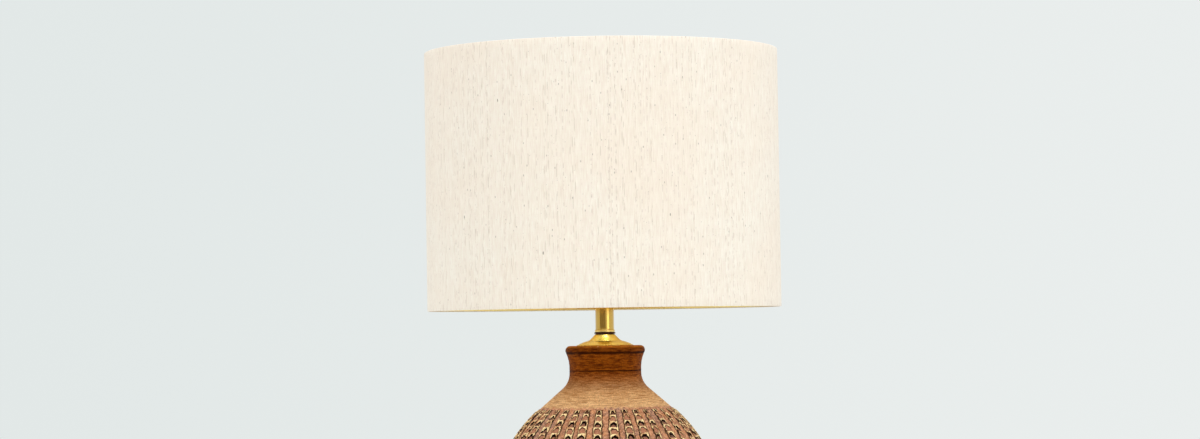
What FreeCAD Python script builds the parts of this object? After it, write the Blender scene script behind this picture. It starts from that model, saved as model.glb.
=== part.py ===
import FreeCAD, Part
import math
import os
import re

import Sketcher
from FreeCAD import Placement, Rotation, Vector

# A stoneware table lamp under a linen drum shade. +Z is up, the felt under the foot lies on z = 0,
# and the lamp's axis is the Z axis. The harp stands in the XZ plane and the switch knob points to -Y.
# Every length is in millimetres and every angle in degrees.

# Thrown stoneware body, measured from its own foot
STONEWARE = {
    "base_height": 360.0,
    "foot_radius": 78.0,
    "foot_round": 1.5,
    "foot_wall": 12.0,
    "foot_ring_height": 16.0,
    "foot_recess_depth": 14.0,
    "floor_thickness": 10.0,
    "body_wall": 8.0,
    "belly_radius": 125.0,
    "shoulder_angle": 49.0,
    "shoulder_slope": 34.0,
    "neck_radius": 38.6,
    "neck_sweep": 22.0,
    "neck_straight": 5.1,
    "lip_flare": 4.2,
    "lip_round": 5.0,
    "lip_undercut": 25.0,
    "mouth_depth": 10.0,
}
# Raised strips of the carved band, from the shoulder down to above the foot
CARVED_BAND = {
    "rib_count": 36,
    "rib_relief": 1.2,
    "rib_root": 2.0,
    "rib_width_share": 0.56,
    "band_end_height": 44.0,
}
# Under the foot, and the cord's way out of it
FOOT = {
    "felt_thickness": 2.5,
    "felt_inset": 1.5,
    "gasket_radius": 18.0,
    "gasket_thickness": 2.0,
    "base_washer_radius": 16.0,
    "base_washer_thickness": 1.6,
    "nut_across_flats": 14.0,
    "base_nut_height": 5.0,
    "pipe_below_nut": 3.0,
    "cord_hole_radius": 5.0,
    "bushing_bore_radius": 3.6,
    "bushing_lip": 1.8,
    "bushing_lip_thickness": 1.8,
    "bushing_proud": 0.6,
    "bushing_fit": 0.1,
}
# Threaded pipe, and the brass stacked on the lip
STEM = {
    "pipe_radius": 5.1,
    "pipe_bore_radius": 3.4,
    "pipe_fit": 0.15,
    "pipe_hole_gap": 0.9,
    "pipe_short_of_boss": 0.5,
    "cap_radius": 30.5,
    "cap_bearing": 4.5,
    "cap_rim_height": 0.9,
    "cap_tier_radius": 18.0,
    "cap_tier_height": 5.6,
    "cap_tier_sweep": 42.0,
    "cap_top_radius": 10.0,
    "cap_height": 12.7,
    "cap_cone_sweep": 40.0,
    "cap_sheet": 0.9,
    "fibre_washer_radius": 11.3,
    "fibre_washer_thickness": 1.5,
    "ring_lip": 1.2,
    "ring_height": 2.8,
    "check_ring_radius": 10.8,
    "check_ring_edge": 0.9,
    "tube_radius": 10.1,
    "tube_length": 54.5,
    "tube_wall": 0.9,
    "spigot_height": 1.6,
    "spigot_fit": 0.1,
    "seat_ring_height": 2.0,
}
# Bent strip that carries the harp
SADDLE = {
    "saddle_thickness": 1.4,
    "saddle_width": 14.0,
    "saddle_flat": 15.0,
    "saddle_rise": 5.0,
    "prong_reach": 28.5,
    "prong_width": 3.6,
    "prong_height": 12.0,
    "saddle_nut_height": 3.0,
}
# Wire harp and the two sleeves that lock its legs to the saddle's prongs
HARP = {
    "harp_height": 228.6,
    "harp_reach": 54.0,
    "harp_wire_radius": 1.5,
    "harp_top_share": 0.83,
    "leg_fit": 0.25,
    "leg_straight": 31.0,
    "leg_sweep_height": 56.0,
    "pad_radius": 6.5,
    "pad_thickness": 3.4,
    "sleeve_length": 14.0,
    "sleeve_wall": 0.7,
    "sleeve_fit": 0.3,
    "sleeve_top": 1.2,
}
# Stud that turns in the harp's pad and carries the shade
SWIVEL = {
    "stud_radius": 3.1,
    "stud_shank_radius": 2.4,
    "stud_collar_radius": 6.4,
    "stud_collar_height": 2.2,
    "stud_head_radius": 4.4,
    "stud_head_height": 1.4,
    "stud_thread_length": 11.0,
    "stud_lead": 0.6,
    "swivel_fit": 0.08,
    "swivel_play": 0.2,
}
SHADE = {
    "shade_radius": 190.5,
    "shade_height": 277.0,
    "fabric_thickness": 0.7,
    "lining_thickness": 0.5,
    "lining_fit": 0.05,
    "ring_wire_radius": 1.6,
    "ring_inset": 2.4,
    "ring_fit": 0.05,
    "spider_drop": 14.2,
    "hub_radius": 11.0,
    "hub_thickness": 1.6,
    "hub_fit": 0.08,
    "arm_count": 3,
    "arm_wire_radius": 1.5,
    "arm_root": 2.0,
    "arm_stub": 4.0,
    "arm_bend_radius": 10.0,
    "arm_rise_angle": 45.0,
}
FINIAL = {
    "finial_washer_radius": 6.8,
    "finial_washer_thickness": 0.8,
    "finial_fit": 0.08,
    "finial_foot_radius": 6.0,
    "finial_foot_height": 1.6,
    "finial_waist_radius": 4.9,
    "finial_waist_height": 3.6,
    "finial_ball_radius": 7.8,
    "finial_button_radius": 2.4,
    "finial_button_height": 1.0,
}
# Lamp holder, sized outwards from the bulb's cap
SOCKET = {
    "socket_sheet": 0.8,
    "boss_wall": 2.0,
    "boss_height": 8.4,
    "socket_cone_height": 7.0,
    "socket_rim_height": 6.0,
    "set_screw_radius": 1.4,
    "set_screw_head_radius": 2.2,
    "set_screw_head_height": 1.6,
    "shell_fit": 0.1,
    "shell_wall": 0.5,
    "shell_height": 46.0,
    "shell_bead_height": 3.4,
    "shell_bead_proud": 0.8,
    "shell_bead_drop": 5.0,
    "liner_thickness": 0.5,
    "liner_gap": 1.2,
    "liner_margin": 1.0,
    "block_height": 17.0,
    "terminal_head_radius": 2.6,
    "terminal_head_height": 1.2,
    "terminal_shank_radius": 1.5,
    "terminal_shank_length": 5.0,
    "terminal_height": 5.0,
    "terminal_gap": 0.3,
    "screw_shell_wall": 0.4,
    "screw_shell_height": 26.0,
    "screw_shell_hole": 5.0,
    "contact_half_length": 3.4,
    "contact_width": 4.0,
    "contact_height": 5.0,
    "contact_strip": 0.5,
}
SWITCH = {
    "spindle_radius": 1.6,
    "spindle_depth": 8.0,
    "spindle_grip": 6.0,
    "spindle_fit": 0.08,
    "switch_hole_radius": 3.2,
    "switch_gap": 0.3,
    "knob_gap": 1.5,
    "knob_neck_radius": 3.2,
    "knob_neck_length": 4.0,
    "knob_radius": 5.4,
    "knob_length": 15.0,
    "knob_crown": 1.6,
    "knob_flute_count": 12,
    "knob_flute_radius": 0.9,
    "knob_flute_offset": 0.3,
}
BULB = {
    "bulb_fit": 0.3,
    "bulb_seat_gap": 0.2,
    "bulb_tip_radius": 4.4,
    "bulb_tip_height": 1.4,
    "bulb_insulator_radius": 11.0,
    "bulb_insulator_height": 5.0,
    "bulb_cap_radius": 13.1,
    "bulb_cap_height": 20.0,
    "bulb_cap_wall": 0.4,
    "bulb_neck_fit": 0.1,
    "bulb_neck_depth": 9.0,
    "bulb_neck_rise": 5.0,
    "bulb_radius": 30.0,
    "bulb_flare_height": 48.0,
    "bulb_glass_wall": 0.8,
}
CUTTING = {"overrun": 1.0}

GROUPS = [STONEWARE, CARVED_BAND, FOOT, STEM, SADDLE, HARP, SWIVEL, SHADE, FINIAL, SOCKET, SWITCH, BULB,
          CUTTING]
SIZES = {name: size for group in GROUPS for name, size in group.items()}

# Heights of the stack, each worked out from the pieces below it
LIP_Z = "(felt_thickness + base_height)"
FIBRE_Z = f"({LIP_Z} + cap_height)"
RING_Z = f"({FIBRE_Z} + fibre_washer_thickness)"
TUBE_Z = f"({RING_Z} + ring_height)"
SEAT_RING_Z = f"({TUBE_Z} + tube_length)"
SADDLE_Z = f"({SEAT_RING_Z} + seat_ring_height)"
SADDLE_NUT_Z = f"({SADDLE_Z} + saddle_thickness)"
SOCKET_Z = f"({SADDLE_NUT_Z} + saddle_nut_height)"
HUB_Z = f"({SADDLE_Z} + harp_height)"
PAD_Z = f"({HUB_Z} - stud_collar_height - swivel_play - pad_thickness)"
SHADE_TOP_Z = f"({HUB_Z} + spider_drop)"
SHADE_BOTTOM_Z = f"({SHADE_TOP_Z} - shade_height)"
FINIAL_WASHER_Z = f"({HUB_Z} + hub_thickness + swivel_fit)"
FINIAL_Z = f"({FINIAL_WASHER_Z} + finial_washer_thickness + swivel_fit)"
GASKET_Z = "(felt_thickness + foot_recess_depth - gasket_thickness)"
BASE_WASHER_Z = f"({GASKET_Z} - base_washer_thickness)"
BASE_NUT_Z = f"({BASE_WASHER_Z} - base_nut_height)"
PIPE_BOTTOM_Z = f"({BASE_NUT_Z} - pipe_below_nut)"
PIPE_TOP_Z = f"({SOCKET_Z} + boss_height - pipe_short_of_boss)"
CORD_HOLE_HEIGHT = "(foot_recess_depth / 2)"

# Bores and seats shared by neighbours
PIPE_BORE = "(pipe_radius + pipe_fit)"
MOUTH_RADIUS = "(cap_radius - cap_bearing)"
RING_RADIUS = "(tube_radius + ring_lip)"
SPIGOT_RADIUS = "(tube_radius - tube_wall - spigot_fit)"
LINING_OUTER = "(shade_radius - fabric_thickness - lining_fit)"
LINING_INNER = f"({LINING_OUTER} - lining_thickness)"
SHADE_RING_RADIUS = f"({LINING_INNER} - ring_fit - ring_wire_radius)"

# The lamp holder's shells, from the bulb's cap outwards, and heights inside it above its own foot
SCREW_SHELL_RADIUS = "(bulb_cap_radius + bulb_fit + screw_shell_wall)"
LINER_BORE = f"({SCREW_SHELL_RADIUS} + liner_gap)"
LINER_RADIUS = f"({LINER_BORE} + liner_thickness)"
SHELL_BORE = f"({LINER_RADIUS} + shell_fit)"
SHELL_RADIUS = f"({SHELL_BORE} + shell_wall)"
SOCKET_BORE = f"({SHELL_RADIUS} + shell_fit)"
SOCKET_RADIUS = f"({SOCKET_BORE} + socket_sheet)"
BLOCK_RADIUS = f"(sqrt(({LINER_BORE} - terminal_gap)^2 - terminal_head_radius^2) - terminal_head_height)"
BOSS_RADIUS = f"({PIPE_BORE} + boss_wall)"
CONE_SLOPE = f"(socket_cone_height / ({SOCKET_RADIUS} - {BOSS_RADIUS}))"
CONE_FLOOR = f"(boss_height + socket_sheet * sqrt(1 + {CONE_SLOPE}^2))"
BLOCK_RISE = f"({CONE_FLOOR} + ({BLOCK_RADIUS} - {BOSS_RADIUS}) * {CONE_SLOPE} + shell_fit)"
SHELL_RISE = f"({CONE_FLOOR} + ({SOCKET_BORE} - {BOSS_RADIUS}) * {CONE_SLOPE} + shell_fit)"
BLOCK_TOP = f"({BLOCK_RISE} + block_height)"
CAP_RIM_TOP = "(boss_height + socket_cone_height + socket_rim_height)"
SWITCH_RISE = f"({CAP_RIM_TOP} + switch_hole_radius + switch_gap)"
SWITCH_Z = f"({SOCKET_Z} + {SWITCH_RISE})"
TERMINAL_RISE = f"({BLOCK_RISE} + terminal_height)"
BULB_Z = f"({SOCKET_Z} + {BLOCK_TOP} + contact_height + contact_strip + bulb_seat_gap)"

# Where a harp leg stands beside its prong, and the sleeve that holds the two together
LEDGE_Z = f"({SADDLE_Z} + saddle_rise + saddle_thickness)"
PRONG_INNER_X = "(prong_reach - saddle_thickness / 2)"
PRONG_OUTER_X = "(prong_reach + saddle_thickness / 2)"
LEG_X = f"({PRONG_OUTER_X} + leg_fit + harp_wire_radius)"
LEG_Z = f"({LEDGE_Z} + leg_fit)"
SLEEVE_X = f"(({PRONG_INNER_X} + {LEG_X} + harp_wire_radius) / 2)"
SLEEVE_BORE = f"(sqrt(({SLEEVE_X} - {PRONG_INNER_X})^2 + (prong_width / 2)^2) + sleeve_fit)"

doc = FreeCAD.newDocument("table_lamp")
sheet = doc.addObject("Spreadsheet::Sheet", "dims")
SIZE_WORDS = re.compile(r"\b(" + "|".join(sorted(SIZES, key=len, reverse=True)) + r")\b")
nodes = []


def fill_sheet():
    """Writes each driving size into the sheet as plain text with its alias."""
    for row, (name, size) in enumerate(SIZES.items(), 1):
        sheet.set(f"A{row}", name)
        sheet.set(f"B{row}", str(size))
        sheet.setAlias(f"B{row}", name)
    doc.recompute()


def number(formula):
    """The value that a formula in the sheet's names has now."""
    found = sheet.evalExpression(formula)
    return float(getattr(found, "Value", found))


def bind(thing, prop, formula):
    """Ties a property to a formula in the sheet's names."""
    thing.setExpression(prop, SIZE_WORDS.sub(r"dims.\1", formula))


def keep(thing, label):
    """Lists a finished object as a node under its label."""
    thing.Label = label
    nodes.append(thing)
    return thing


def lift(thing, formula):
    """Raises an object to the height that a formula gives."""
    bind(thing, "Placement.Base.z", formula)
    return thing


def new_body(label, height=None):
    """An empty body under its label, standing at a height."""
    body = keep(doc.addObject("PartDesign::Body", label), label)
    if height:
        lift(body, height)
    return body


def origin_plane(body, role):
    """One of a body's own origin planes."""
    return next(item for item in body.Origin.OriginFeatures if item.Role == role)


def new_sketch(body, name, role="XZ_Plane", offset=None):
    """A sketch on one of the body's origin planes, or square off it by an offset."""
    sketch = body.newObject("Sketcher::SketchObject", name)
    sketch.AttachmentSupport = [(origin_plane(body, role), "")]
    sketch.MapMode = "FlatFace"
    if offset:
        bind(sketch, "AttachmentOffset.Base.z", offset)
    return sketch


def fix_point(sketch, edge, end, across, up):
    """Ties a point of a sketch to its two coordinates."""
    for kind, axis, formula in (("DistanceX", -2, across), ("DistanceY", -1, up)):
        if formula == "0":
            sketch.addConstraint(Sketcher.Constraint("PointOnObject", edge, end, axis))
            continue
        made = sketch.addConstraint(Sketcher.Constraint(kind, -1, 1, edge, end, number(formula)))
        bind(sketch, f"Constraints[{made}]", formula)


def arc_between(start, finish, radius, side):
    """An arc from start to finish with its centre to one side of the way, and whether it runs as drawn."""
    chord = finish - start
    height = math.sqrt(max(radius ** 2 - (chord.Length / 2) ** 2, 0.0))
    sideways = Vector(-chord.y, chord.x, 0).normalize() * (1 if side == "left" else -1)
    centre = (start + finish) / 2 + sideways * height
    angles = [math.atan2(point.y - centre.y, point.x - centre.x) for point in (start, finish)]
    forward = side == "left"
    if not forward:
        angles.reverse()
    circle = Part.Circle(centre, Vector(0, 0, 1), radius)
    return Part.ArcOfCircle(circle, angles[0], angles[1]), forward


def draw(sketch, corners, closed=True):
    """Draws an outline through corners given as formulas. A corner is (across, up), or
    (across, up, radius, side) where the edge that leaves it is an arc with its centre to that side."""
    points = [Vector(number(corner[0]), number(corner[1]), 0) for corner in corners]
    count = len(corners) if closed else len(corners) - 1
    ends = []
    for index in range(count):
        corner = corners[index]
        start, finish = points[index], points[(index + 1) % len(points)]
        if len(corner) == 2:
            edge = sketch.addGeometry(Part.LineSegment(start, finish))
            ends.append((edge, 1, 2))
            continue
        arc, forward = arc_between(start, finish, number(corner[2]), corner[3])
        edge = sketch.addGeometry(arc)
        ends.append((edge, 1, 2) if forward else (edge, 2, 1))
        radius = sketch.addConstraint(Sketcher.Constraint("Radius", edge, number(corner[2])))
        bind(sketch, f"Constraints[{radius}]", corner[2])
    for index, (edge, first, last) in enumerate(ends):
        follower = ends[(index + 1) % len(ends)]
        if closed or index + 1 < len(ends):
            sketch.addConstraint(Sketcher.Constraint("Coincident", edge, last, follower[0], follower[1]))
        fix_point(sketch, edge, first, *corners[index][:2])
    if not closed:
        edge, first, last = ends[-1]
        fix_point(sketch, edge, last, *corners[-1][:2])
    return sketch


def draw_circle(sketch, radius, across="0", up="0"):
    """Draws one circle whose centre and radius are formulas."""
    centre = Vector(number(across), number(up), 0)
    edge = sketch.addGeometry(Part.Circle(centre, Vector(0, 0, 1), number(radius)))
    made = sketch.addConstraint(Sketcher.Constraint("Radius", edge, number(radius)))
    bind(sketch, f"Constraints[{made}]", radius)
    fix_point(sketch, edge, 3, across, up)
    return sketch


def revolve(body, sketch, name, kind="PartDesign::Revolution"):
    """Turns a sketch a full circle about the body's upright axis, adding or cutting."""
    turn = body.newObject(kind, name)
    turn.Profile = sketch
    turn.ReferenceAxis = (sketch, ["V_Axis"])
    turn.Angle = 360.0
    return turn


def turned(label, height, corners):
    """A piece turned about the lamp's axis from one closed outline."""
    body = new_body(label, height)
    revolve(body, draw(new_sketch(body, f"{label}_outline"), corners), f"{label}_turn")
    return body


def pad(body, sketch, name, length, midplane=False):
    """Extrudes a sketch by a length."""
    made = body.newObject("PartDesign::Pad", name)
    made.Profile = sketch
    made.Midplane = midplane
    bind(made, "Length", length)
    return made


def pocket(body, sketch, name, length, midplane=False, reverse=False):
    """Cuts a sketch into the body by a length."""
    made = body.newObject("PartDesign::Pocket", name)
    made.Profile = sketch
    made.Midplane = midplane
    made.Reversed = reverse
    bind(made, "Length", length)
    return made


def pattern(body, feature, name, sketch, axis, count):
    """Repeats a feature round an axis and makes the pattern the body's tip."""
    made = body.newObject("PartDesign::PolarPattern", name)
    made.Originals = [feature]
    made.Axis = (sketch, [axis])
    made.Angle = 360.0
    bind(made, "Occurrences", count)
    body.Tip = made
    return made


def washer(label, height, radius, hole, thickness):
    """A flat ring."""
    return turned(label, height, [(hole, "0"), (radius, "0"), (radius, thickness), (hole, thickness)])


def drill(body, name, radius, length, role="XY_Plane", centre=("0", "0"), offset=None, reverse=True):
    """Cuts one round hole square to an origin plane."""
    circle = draw_circle(new_sketch(body, f"{name}_circle", role, offset), radius, *centre)
    return pocket(body, circle, name, length, reverse=reverse)


def lay_along(body, axis, distance):
    """Lays a turned piece along +X, -X, +Y or -Y, with its own foot at a distance from the lamp's axis."""
    directions = {
        "+X": (Vector(0, 1, 0), 90.0, "x", ""),
        "-X": (Vector(0, 1, 0), -90.0, "x", "-"),
        "+Y": (Vector(1, 0, 0), -90.0, "y", ""),
        "-Y": (Vector(1, 0, 0), 90.0, "y", "-"),
    }
    pole, angle, letter, sign = directions[axis]
    body.Placement = Placement(body.Placement.Base, Rotation(pole, angle))
    bind(body, f"Placement.Base.{letter}", f"{sign}({distance})")
    return body


def part_cylinder(name, radius, height, foot="0"):
    """A plain upright cylinder, used as a tool or a base."""
    made = doc.addObject("Part::Cylinder", name)
    bind(made, "Radius", radius)
    bind(made, "Height", height)
    return made if foot == "0" else lift(made, foot)


def hex_nut(label, foot, tall):
    """A hexagon nut bored for the pipe."""
    prism = doc.addObject("Part::Prism", f"{label}_prism")
    prism.Polygon = 6
    bind(prism, "Circumradius", "nut_across_flats / sqrt(3)")
    bind(prism, "Height", tall)
    lift(prism, foot)
    cut = doc.addObject("Part::Cut", label)
    cut.Base = prism
    cut.Tool = part_cylinder(f"{label}_bore", PIPE_BORE, f"{tall} + 2 * overrun", f"{foot} - overrun")
    return keep(cut, label)


# Points of the stoneware outline. The slope at the shoulder is straight, and runs at a tangent
# into the hollow of the neck above it and into the belly's arc below it.
LIP_CENTRE = ("(neck_radius + lip_flare - lip_round)", "(base_height - lip_round)")
LIP_END = (
    f"({LIP_CENTRE[0]} + lip_round * cos(lip_undercut))",
    f"({LIP_CENTRE[1]} - lip_round * sin(lip_undercut))",
)
LIP_SWEEP = f"(({LIP_END[0]} - neck_radius) / (1 - cos(lip_undercut)))"
LIP_FOOT_Z = f"({LIP_END[1]} - {LIP_SWEEP} * sin(lip_undercut))"
NECK_Z = f"({LIP_FOOT_Z} - neck_straight)"
NECK_END = (
    "(neck_radius + neck_sweep * (1 - cos(shoulder_angle)))",
    f"({NECK_Z} - neck_sweep * sin(shoulder_angle))",
)
SHOULDER = (
    f"({NECK_END[0]} + shoulder_slope * sin(shoulder_angle))",
    f"({NECK_END[1]} - shoulder_slope * cos(shoulder_angle))",
)
BELLY_SWEEP = f"((belly_radius - {SHOULDER[0]}) / (1 - cos(shoulder_angle)))"
BELLY_Z = f"({SHOULDER[1]} - {BELLY_SWEEP} * sin(shoulder_angle))"
LOWER_SWEEP = (
    f"((({BELLY_Z} - foot_ring_height)^2 + (belly_radius - foot_radius)^2)"
    " / (2 * (belly_radius - foot_radius)))"
)


def in_from_slope(point, depth):
    """A point of the shoulder's slope moved square to it, into the wall."""
    return (
        f"({point[0]} - {depth} * cos(shoulder_angle))",
        f"({point[1]} - {depth} * sin(shoulder_angle))",
    )


def on_lower_arc(height, depth):
    """The point at a height on the arc under the belly, when that arc is moved into the wall."""
    reach = f"sqrt(({LOWER_SWEEP} - {depth})^2 - ({height} - {BELLY_Z})^2)"
    return f"(belly_radius - {LOWER_SWEEP} + {reach})", height


def raised_strip(body):
    """One strip of the carved band: it follows the wall, turned through a few degrees."""
    proud = "(-rib_relief)"
    sketch = draw(new_sketch(body, "strip_outline"), [
        (*on_lower_arc("band_end_height", proud), f"{LOWER_SWEEP} + rib_relief", "left"),
        ("belly_radius + rib_relief", BELLY_Z, f"{BELLY_SWEEP} + rib_relief", "left"),
        in_from_slope(SHOULDER, proud),
        (*in_from_slope(SHOULDER, "rib_root"), f"{BELLY_SWEEP} - rib_root", "right"),
        ("belly_radius - rib_root", BELLY_Z, f"{LOWER_SWEEP} - rib_root", "right"),
        on_lower_arc("band_end_height", "rib_root"),
    ])
    strip = revolve(body, sketch, "strip")
    strip.Midplane = True
    bind(strip, "Angle", "360 / rib_count * rib_width_share")
    return strip


def ceramic_body():
    """The vase: outside, raised strips, hollow, foot recess, and the holes for pipe and cord."""
    body = new_body("ceramic_body", "felt_thickness")
    outside = draw(new_sketch(body, "vase_outline"), [
        ("0", "0"),
        ("foot_radius - foot_round", "0", "foot_round", "left"),
        ("foot_radius", "foot_round"),
        ("foot_radius", "foot_ring_height", LOWER_SWEEP, "left"),
        ("belly_radius", BELLY_Z, BELLY_SWEEP, "left"),
        SHOULDER,
        (*NECK_END, "neck_sweep", "right"),
        ("neck_radius", NECK_Z),
        ("neck_radius", LIP_FOOT_Z, LIP_SWEEP, "right"),
        (*LIP_END, "lip_round", "left"),
        (LIP_CENTRE[0], "base_height"),
        ("0", "base_height"),
    ])
    revolve(body, outside, "vase_turn")
    pattern(body, raised_strip(body), "strips", outside, "V_Axis", "rib_count")
    floor_top = "(foot_recess_depth + floor_thickness)"
    hollow_neck = "(neck_radius - body_wall)"
    hollow = draw(new_sketch(body, "hollow_outline"), [
        ("0", floor_top),
        (*on_lower_arc(floor_top, "body_wall"), f"{LOWER_SWEEP} - body_wall", "left"),
        ("belly_radius - body_wall", BELLY_Z, f"{BELLY_SWEEP} - body_wall", "left"),
        in_from_slope(SHOULDER, "body_wall"),
        (*in_from_slope(NECK_END, "body_wall"), "neck_sweep + body_wall", "right"),
        (hollow_neck, NECK_Z),
        (hollow_neck, f"base_height - mouth_depth - ({hollow_neck} - {MOUTH_RADIUS})"),
        (MOUTH_RADIUS, "base_height - mouth_depth"),
        (MOUTH_RADIUS, "base_height + overrun"),
        ("0", "base_height + overrun"),
    ])
    revolve(body, hollow, "vase_hollow", "PartDesign::Groove")
    drill(body, "foot_recess", "foot_radius - foot_wall", "foot_recess_depth")
    drill(body, "pipe_hole", "pipe_radius + pipe_hole_gap", f"{floor_top} + overrun")
    drill(body, "cord_hole", "cord_hole_radius", "foot_radius + overrun", "XZ_Plane",
          ("0", CORD_HOLE_HEIGHT), reverse=False)
    return body


def foot_pieces():
    """Felt, the nut that clamps the pipe under the vase's floor, and the bush where the cord leaves."""
    turned("foot_felt", None, [
        ("0", "0"),
        ("foot_radius - felt_inset", "0"),
        ("foot_radius - felt_inset", "felt_thickness"),
        ("0", "felt_thickness"),
    ])
    washer("base_gasket", GASKET_Z, "gasket_radius", PIPE_BORE, "gasket_thickness")
    washer("base_washer", BASE_WASHER_Z, "base_washer_radius", PIPE_BORE, "base_washer_thickness")
    hex_nut("base_nut", BASE_NUT_Z, "base_nut_height")
    sleeve = "(cord_hole_radius - bushing_fit)"
    length = "(foot_wall + bushing_proud)"
    bushing = turned("cord_bushing", f"felt_thickness + {CORD_HOLE_HEIGHT}", [
        ("bushing_bore_radius", "0"),
        (sleeve, "0"),
        (sleeve, length),
        ("cord_hole_radius + bushing_lip", length),
        ("cord_hole_radius + bushing_lip - bushing_lip_thickness / 2", f"{length} + bushing_lip_thickness"),
        ("bushing_bore_radius", f"{length} + bushing_lip_thickness"),
    ])
    lay_along(bushing, "+Y", f"foot_radius + bushing_fit - {length}")


def stem_pieces():
    """Threaded pipe, and what is stacked on the vase's lip as far as the harp's saddle."""
    turned("lamp_pipe", PIPE_BOTTOM_Z, [
        ("pipe_bore_radius", "0"),
        ("pipe_radius", "0"),
        ("pipe_radius", f"{PIPE_TOP_Z} - {PIPE_BOTTOM_Z}"),
        ("pipe_bore_radius", f"{PIPE_TOP_Z} - {PIPE_BOTTOM_Z}"),
    ])
    turned("vase_cap", LIP_Z, [
        ("cap_radius", "0"),
        ("cap_radius", "cap_rim_height", "cap_tier_sweep", "left"),
        ("cap_tier_radius", "cap_tier_height", "cap_cone_sweep", "right"),
        ("cap_top_radius", "cap_height"),
        (PIPE_BORE, "cap_height"),
        (PIPE_BORE, "cap_height - cap_sheet"),
        ("cap_top_radius - cap_sheet", "cap_height - cap_sheet", "cap_cone_sweep + cap_sheet", "left"),
        ("cap_tier_radius - cap_sheet", "cap_tier_height - cap_sheet", "cap_tier_sweep - cap_sheet",
         "right"),
        ("cap_radius - 2 * cap_sheet", "0"),
    ])
    washer("neck_washer", FIBRE_Z, "fibre_washer_radius", PIPE_BORE, "fibre_washer_thickness")
    turned("check_ring", RING_Z, [
        (PIPE_BORE, "0"),
        ("check_ring_radius - check_ring_edge", "0", "check_ring_edge", "left"),
        ("check_ring_radius", "check_ring_edge"),
        ("check_ring_radius", "ring_height - check_ring_edge", "check_ring_edge", "left"),
        ("check_ring_radius - check_ring_edge", "ring_height"),
        (SPIGOT_RADIUS, "ring_height"),
        (SPIGOT_RADIUS, "ring_height + spigot_height"),
        (PIPE_BORE, "ring_height + spigot_height"),
    ])
    washer("neck_tube", TUBE_Z, "tube_radius", "tube_radius - tube_wall", "tube_length")
    turned("seat_ring", SEAT_RING_Z, [
        (PIPE_BORE, "-spigot_height"),
        (SPIGOT_RADIUS, "-spigot_height"),
        (SPIGOT_RADIUS, "0"),
        (f"{RING_RADIUS} - seat_ring_height / 2", "0", "seat_ring_height / 2", "left"),
        (RING_RADIUS, "seat_ring_height / 2", "seat_ring_height / 2", "left"),
        (f"{RING_RADIUS} - seat_ring_height / 2", "seat_ring_height"),
        (PIPE_BORE, "seat_ring_height"),
    ])


def harp_saddle():
    """A strip bent up at both ends, narrowed to a prong each side, with a hole for the pipe."""
    body = new_body("harp_saddle", SADDLE_Z)
    bend = "(saddle_rise + saddle_thickness)"
    top = f"({bend} + prong_height)"
    over = f"({top} + overrun)"
    side = draw(new_sketch(body, "strip_side"), [
        ("-saddle_flat", "0"),
        ("saddle_flat", "0"),
        (PRONG_OUTER_X, "saddle_rise"),
        (PRONG_OUTER_X, top),
        (PRONG_INNER_X, top),
        (PRONG_INNER_X, bend),
        ("saddle_flat", "saddle_thickness"),
        ("-saddle_flat", "saddle_thickness"),
        (f"-{PRONG_INNER_X}", bend),
        (f"-{PRONG_INNER_X}", top),
        (f"-{PRONG_OUTER_X}", top),
        (f"-{PRONG_OUTER_X}", "saddle_rise"),
    ])
    pad(body, side, "bent_strip", "saddle_width", midplane=True)
    flanks = new_sketch(body, "prong_flanks", "YZ_Plane")
    for sign in ("-", ""):
        inner, outer = f"{sign}prong_width / 2", f"{sign}(saddle_width / 2 + overrun)"
        draw(flanks, [(inner, bend), (outer, bend), (outer, over), (inner, over)])
    pocket(body, flanks, "prong_cut", f"2 * ({PRONG_OUTER_X} + overrun)", midplane=True)
    drill(body, "saddle_hole", PIPE_BORE, "saddle_thickness + overrun")
    return body


def harp_wire():
    """The wire loop in two mirrored halves, with the pierced pad at its top."""
    body = new_body("harp_wire", LEG_Z)
    reach = f"(harp_reach - {LEG_X})"
    bend = f"(({reach}^2 + leg_sweep_height^2) / (4 * {reach}))"
    widest = "(leg_straight + leg_sweep_height)"
    middle = f"({PAD_Z} - {LEG_Z} + pad_thickness / 2)"
    crown = "(harp_reach * harp_top_share)"
    rise = f"({middle} - {crown} - {widest})"
    side = f"((harp_reach^2 + {rise}^2 - {crown}^2) / (2 * (harp_reach - {crown})))"
    meet = f"({crown} / ({side} - {crown}))"
    path = draw(new_sketch(body, "harp_line"), [
        (LEG_X, "0"),
        (LEG_X, "leg_straight", bend, "right"),
        (f"({LEG_X} + harp_reach) / 2", "leg_straight + leg_sweep_height / 2", bend, "left"),
        ("harp_reach", widest, side, "left"),
        (f"({side} - harp_reach) * {meet}", f"{middle} - {crown} + {rise} * {meet}", crown, "left"),
        ("0", middle),
    ], closed=False)
    section = draw_circle(new_sketch(body, "wire_circle", "XY_Plane"), "harp_wire_radius", LEG_X)
    half = body.newObject("PartDesign::AdditivePipe", "half_loop")
    half.Profile = section
    half.Spine = path
    mirrored = body.newObject("PartDesign::Mirrored", "whole_loop")
    mirrored.Originals = [half]
    mirrored.MirrorPlane = (origin_plane(body, "YZ_Plane"), [""])
    body.Tip = mirrored
    foot = f"{middle} - pad_thickness / 2"
    disc = draw_circle(new_sketch(body, "pad_circle", "XY_Plane", foot), "pad_radius")
    pad(body, disc, "harp_pad", "pad_thickness")
    drill(body, "stud_hole", "stud_shank_radius + swivel_fit", "pad_thickness + 2 * overrun",
          offset=f"{foot} - overrun")
    return body


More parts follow.
